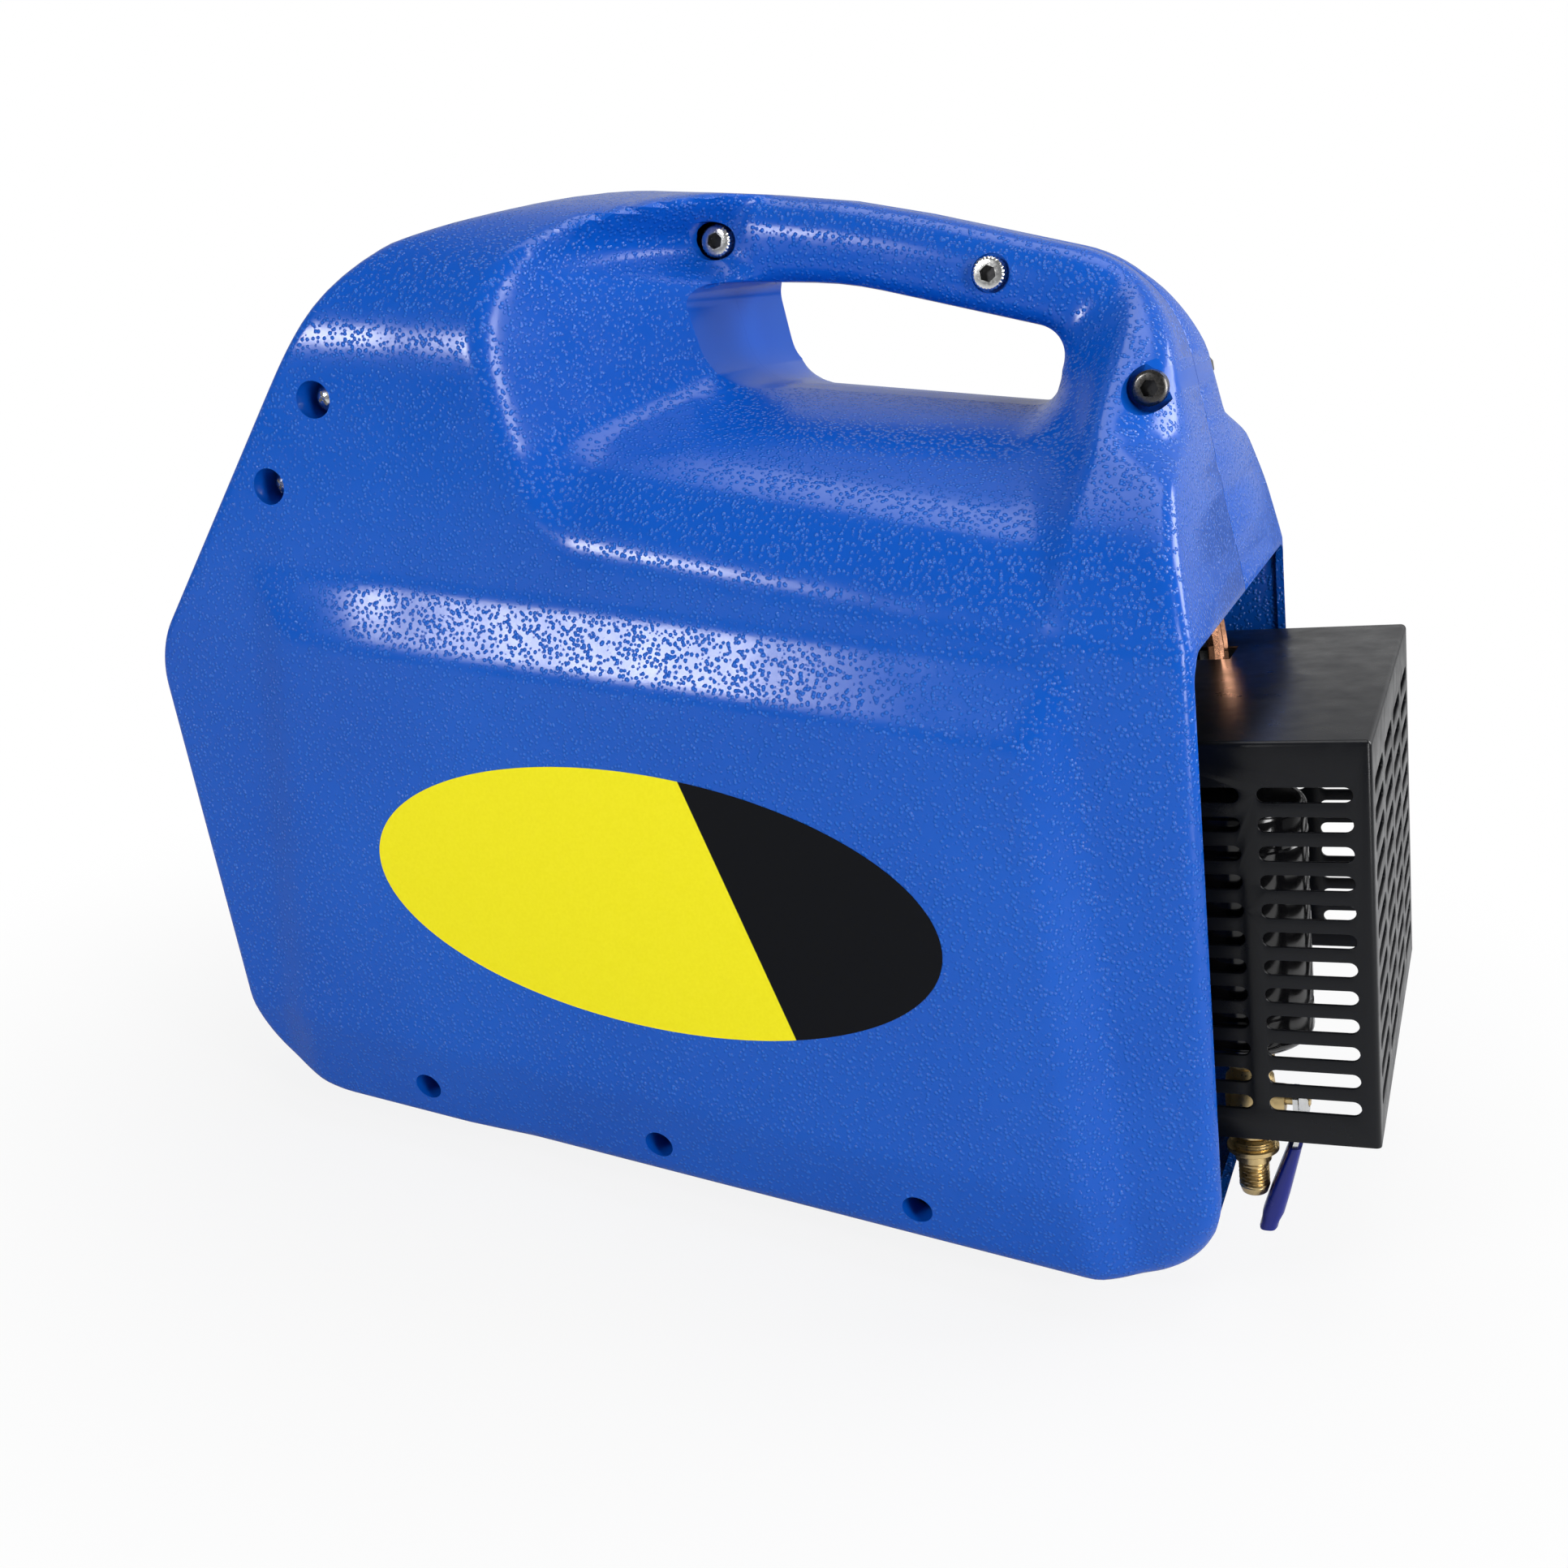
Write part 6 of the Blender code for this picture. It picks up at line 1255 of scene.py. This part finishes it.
def scale_marks(low, high):
    """Ticks and numbers of a gauge's scale, over 270 degrees about the dial's middle."""
    meshes = []
    steps = 50
    for n in range(steps + 1):
        long, middle = n % 10 == 0, n % 5 == 0
        turn = Matrix.Rotation(math.radians(225 - 270 * n / steps), 4, "Z")
        inner = DIAL_RADIUS - (4.2 if long else 3.2 if middle else 2.2) * MM
        wide = (0.3 if long else 0.16) * MM
        mark = box_mesh((inner, -wide, low), (DIAL_RADIUS - 1 * MM, wide, high))
        mark.transform(turn)
        meshes.append(mark)
        if long:
            number = printed(str(n), 3.6 * MM, high - low)
            place = turn @ Vector((DIAL_RADIUS - 7.4 * MM, 0, (low + high) / 2))
            number.transform(Matrix.Translation(place))
            meshes.append(number)
    arc = [(r * math.cos(a), r * math.sin(a)) for r, angles in (
        (DIAL_RADIUS - 1 * MM, range(225, -46, -5)), (DIAL_RADIUS - 1.3 * MM, range(-45, 226, 5)))
        for a in map(math.radians, angles)]
    meshes.append(prism(arc, low, high))
    return joined("marks", meshes)


def build_gauges():
    """White dials with a printed scale under the lenses."""
    dial = -PANEL_SETBACK + BEZEL - DIAL_DEPTH
    for name, side in (("low", -1), ("high", 1)):
        place = FACES["upper"] @ Matrix.Translation((side * GAUGE_Y, GAUGE_UP, dial))
        face = lathe("dial", [(0.001, 0.14 * MM), (DIAL_RADIUS, 0.14 * MM), (DIAL_RADIUS, 0.02 * MM),
                              (0.001, 0.02 * MM), (0.001, 0.14 * MM)], 72)
        face = cut_mesh(face, [("DIFFERENCE", cylinder(NEEDLE_PIN + GAP, -1 * MM, 1 * MM))], "EXACT")
        add_piece(f"{name}_dial", face, DIAL, "machine", (), place, 30)
        add_piece(f"{name}_scale", scale_marks(0.12 * MM, 0.2 * MM), INK, "machine", (), place, 0)


# Bolts and screws


def hexagon_prism(across, low, high):
    radius = across / math.sqrt(3)
    outline = [(radius * math.cos(math.pi / 3 * n), radius * math.sin(math.pi / 3 * n)) for n in range(6)]
    return prism(outline, low, high)


def socket_bolt(length, knurled):
    """A socket-head bolt along Z, the head's top at Z = 0, with a knurled or plain rim, and painted shade
    inside its hex socket.
    """
    head, edge = BOLT_HEAD_HEIGHT, 0.7 * MM
    profile = [(0, 0), (BOLT_HEAD - edge - 0.6 * MM, 0), (BOLT_HEAD - edge, -0.15 * MM), (BOLT_HEAD, -edge)]
    for n in range(1, 12):
        profile.append((BOLT_HEAD, -edge - (head - edge - 0.3 * MM) * n / 12))
    profile += [(BOLT_HEAD, -head + 0.3 * MM), (BOLT_HEAD - 0.3 * MM, -head), (BOLT, -head),
                (BOLT, -length), (0, -length)]

    def knurl(angle, height, radius):
        if radius < BOLT_HEAD - 1e-7 or height < -head + 0.4 * MM:
            return radius
        return radius - KNURL_DEPTH * (0.5 + 0.5 * math.cos(KNURLS * angle + height / MM * 0.9))

    body = lathe("bolt", profile, 156 if knurled else 64, knurl if knurled else None)
    socket = hexagon_prism(SOCKET_ACROSS, -SOCKET_DEPTH, 1 * MM)
    mesh = cut_mesh(body, [("DIFFERENCE", socket)], "EXACT")
    mesh.materials.clear()
    mesh.materials.append(ZINC if knurled else DARK_STEEL)
    # painted shade: the faces deep in the hex socket get the near-black socket material
    mesh.materials.append(SOCKET)
    for face in mesh.polygons:
        deep = math.hypot(face.center.x, face.center.y) < 3 * MM and -3.6 * MM < face.center.z < -0.4 * MM
        face.material_index = int(deep)
    return mesh


def cross_screw(length, radius=SCREW_HEAD, head=SCREW_HEAD_HEIGHT):
    """A pan-head screw along Z with a cross recess, the head's top at Z = 0."""
    profile = [(0, 0)]
    for n in range(1, 9):
        angle = math.pi / 2 * n / 8
        profile.append((radius * math.sin(angle), -0.65 * head * (1 - math.cos(angle))))
    profile += [(radius, -head), (SCREW, -head), (SCREW, -length), (0, -length)]
    arms = [box_mesh((-2.6 * MM, -0.5 * MM, -1.8 * MM), (2.6 * MM, 0.5 * MM, 1 * MM)),
            box_mesh((-0.5 * MM, -2.6 * MM, -1.7 * MM), (0.5 * MM, 2.6 * MM, 1 * MM))]
    steps = [("DIFFERENCE", arm) for arm in arms]
    return cut_mesh(lathe("screw", profile, 48), steps, "EXACT")


def facing(side, x, y, z):
    """A place on the case's side whose local Z points outwards."""
    turn = Matrix.Rotation(-side * math.pi / 2, 4, "X")
    return Matrix.Translation((x, y, z)) @ turn


def build_fasteners():
    top = HANDLE_HALF - BOLT_SEAT + GAP + BOLT_HEAD_HEIGHT
    for n, (x, z) in enumerate(HANDLE_BOLTS, 1):
        add_piece(f"grip_bolt_{n}", socket_bolt(2 * top - GAP, True), ZINC, "machine",
                  (f"handle_bolt_{n}",), facing(-1, x, -top, z) @ Matrix.Rotation(0.4 * n, 4, "Z"), 30)
    x, z = REAR_BOLT
    top = REAR_BOLT_FLOOR + GAP + BOLT_HEAD_HEIGHT
    add_piece("column_bolt", socket_bolt(2 * top - GAP, False), DARK_STEEL, "machine", ("rear_bolt",),
              facing(-1, x, -top, z), 30)
    count = 0
    for side, label in ((-1, "near"), (1, "far")):
        for n, (x, z) in enumerate(PANEL_SCREWS, 1):
            top = PANEL_SCREW_FLOOR + GAP + PANEL_HEAD_HEIGHT
            length = top - FRONT_OPENING_HALF - PANEL_MARGIN + 4 * MM
            place = facing(side, x, side * top, z) @ Matrix.Rotation(0.5 * n, 4, "Z")
            add_piece(f"cross_screw_{label}_{n}", cross_screw(length, PANEL_HEAD, PANEL_HEAD_HEIGHT),
                      ZINC, "machine", (f"panel_screw_{label}_{n}",), place)
        for x in BASE_SCREW_X:
            count += 1
            top = BASE_SCREW_FLOOR + GAP + SCREW_HEAD_HEIGHT
            add_piece(f"low_screw_{count}", cross_screw(top - BASE_HALF + 5 * MM), DARK_STEEL, "machine",
                      (f"base_screw_{count}",), facing(side, x, side * top, BASE_SCREW_Z))


# Camera, floor and light


def behind_object(tree):
    """BACKDROP_GLOSS in the world's backdrop behind the object, 0 in the room in front of it."""
    place = tree.add("ShaderNodeTexCoord")
    split = tree.add("ShaderNodeSeparateXYZ")
    tree.link(place.outputs["Generated"], split.inputs["Vector"])
    return tree.remap(split.outputs["Y"], -0.1, 0.6, 0, BACKDROP_GLOSS, True)


def build_stage():
    """A pale floor that is white to the camera, and keeps the object's shadow near the object."""
    bm = bmesh.new()
    bmesh.ops.create_grid(bm, x_segments=1, y_segments=1, size=6)
    floor = new_object("floor", mesh_from(bm, "floor"))
    m = Nodes("floor_white", (0.62, 0.62, 0.62), 0.9, specular=0.1)
    bright = m.add("ShaderNodeEmission")
    bright.inputs["Color"].default_value = (1, 1, 1, 1)
    bright.inputs["Strength"].default_value = 1.0
    away = m.add("ShaderNodeVectorMath", operation="LENGTH")
    m.link(m.place, away.inputs[0])
    share = m.remap(away.outputs["Value"], SHADOW_NEAR, SHADOW_FAR, SHADOW_SHARE, 1.0, True)
    path = m.add("ShaderNodeLightPath")
    seen = m.maths("MAXIMUM", path.outputs["Is Camera Ray"], path.outputs["Is Transmission Ray"])
    mix = m.add("ShaderNodeMixShader")
    m.link(m.maths("MULTIPLY", seen, share), mix.inputs["Fac"])
    m.link(m.shader.outputs["BSDF"], mix.inputs[1])
    m.link(bright.outputs["Emission"], mix.inputs[2])
    m.link(mix.outputs["Shader"], m.tree.nodes["Material Output"].inputs["Surface"])
    floor.data.materials.append(m.material)


def build_world():
    """Soft grey room light, with a white backdrop that the camera, metal and glass see."""
    world = bpy.data.worlds.new("studio")
    bpy.context.scene.world = world
    world.use_nodes = True
    tree = Tree(world.node_tree)
    base = tree.tree.nodes["Background"]
    base.inputs["Color"].default_value = (0.95, 0.97, 1, 1)
    base.inputs["Strength"].default_value = ROOM_LIGHT
    seen = tree.add("ShaderNodeBackground")
    seen.inputs["Color"].default_value = (1, 1, 1, 1)
    seen.inputs["Strength"].default_value = 1.0
    path = tree.add("ShaderNodeLightPath")
    direct = tree.maths("MAXIMUM", path.outputs["Is Camera Ray"], path.outputs["Is Transmission Ray"])
    gloss = tree.maths("MULTIPLY", path.outputs["Is Glossy Ray"], behind_object(tree))
    mix = tree.add("ShaderNodeMixShader")
    tree.link(tree.maths("MAXIMUM", direct, gloss), mix.inputs["Fac"])
    tree.link(base.outputs["Background"], mix.inputs[1])
    tree.link(seen.outputs["Background"], mix.inputs[2])
    tree.link(mix.outputs["Shader"], tree.tree.nodes["World Output"].inputs["Surface"])


def area_light(name, at, target, size, power):
    light = bpy.data.lights.new(name, "AREA")
    light.shape = "RECTANGLE"
    light.size, light.size_y = size
    light.energy = power
    obj = new_object(name, light)
    obj.location = at
    obj.rotation_euler = (Vector(target) - Vector(at)).to_track_quat("-Z", "Y").to_euler()


def build_lights():
    area_light("key", (-0.75, -1.43, 0.68), (0, -0.1, 0.22), (0.44, 0.27), 12.5)
    area_light("side", (1.25, -0.75, 0.55), (0.1, 0, 0.2), (0.3, 1.0), 14)
    area_light("rear", (1.2, 0.7, 0.95), (0.15, 0, 0.2), (0.8, 0.8), 18)
    area_light("top", (0.0, 0.1, 1.8), (0, 0, 0.2), (1.2, 0.9), 11)


def build_camera():
    camera = bpy.data.cameras.new("camera")
    camera.lens = LENS
    camera.sensor_width = 36
    camera.clip_start = 0.01
    obj = new_object("camera", camera)
    back, up = Vector(CAMERA_BACK), Vector(CAMERA_UP)
    axes = Matrix((up.cross(back), up, back)).transposed().to_4x4()
    obj.matrix_world = Matrix.Translation(CAMERA_AT) @ axes
    bpy.context.scene.camera = obj


bpy.context.scene.view_settings.view_transform = "Standard"
build_camera()
dress_nodes()
build_case()
build_label()
build_guard_box()
build_inlet()
build_gauges()
build_fasteners()
build_stage()
build_world()
build_lights()
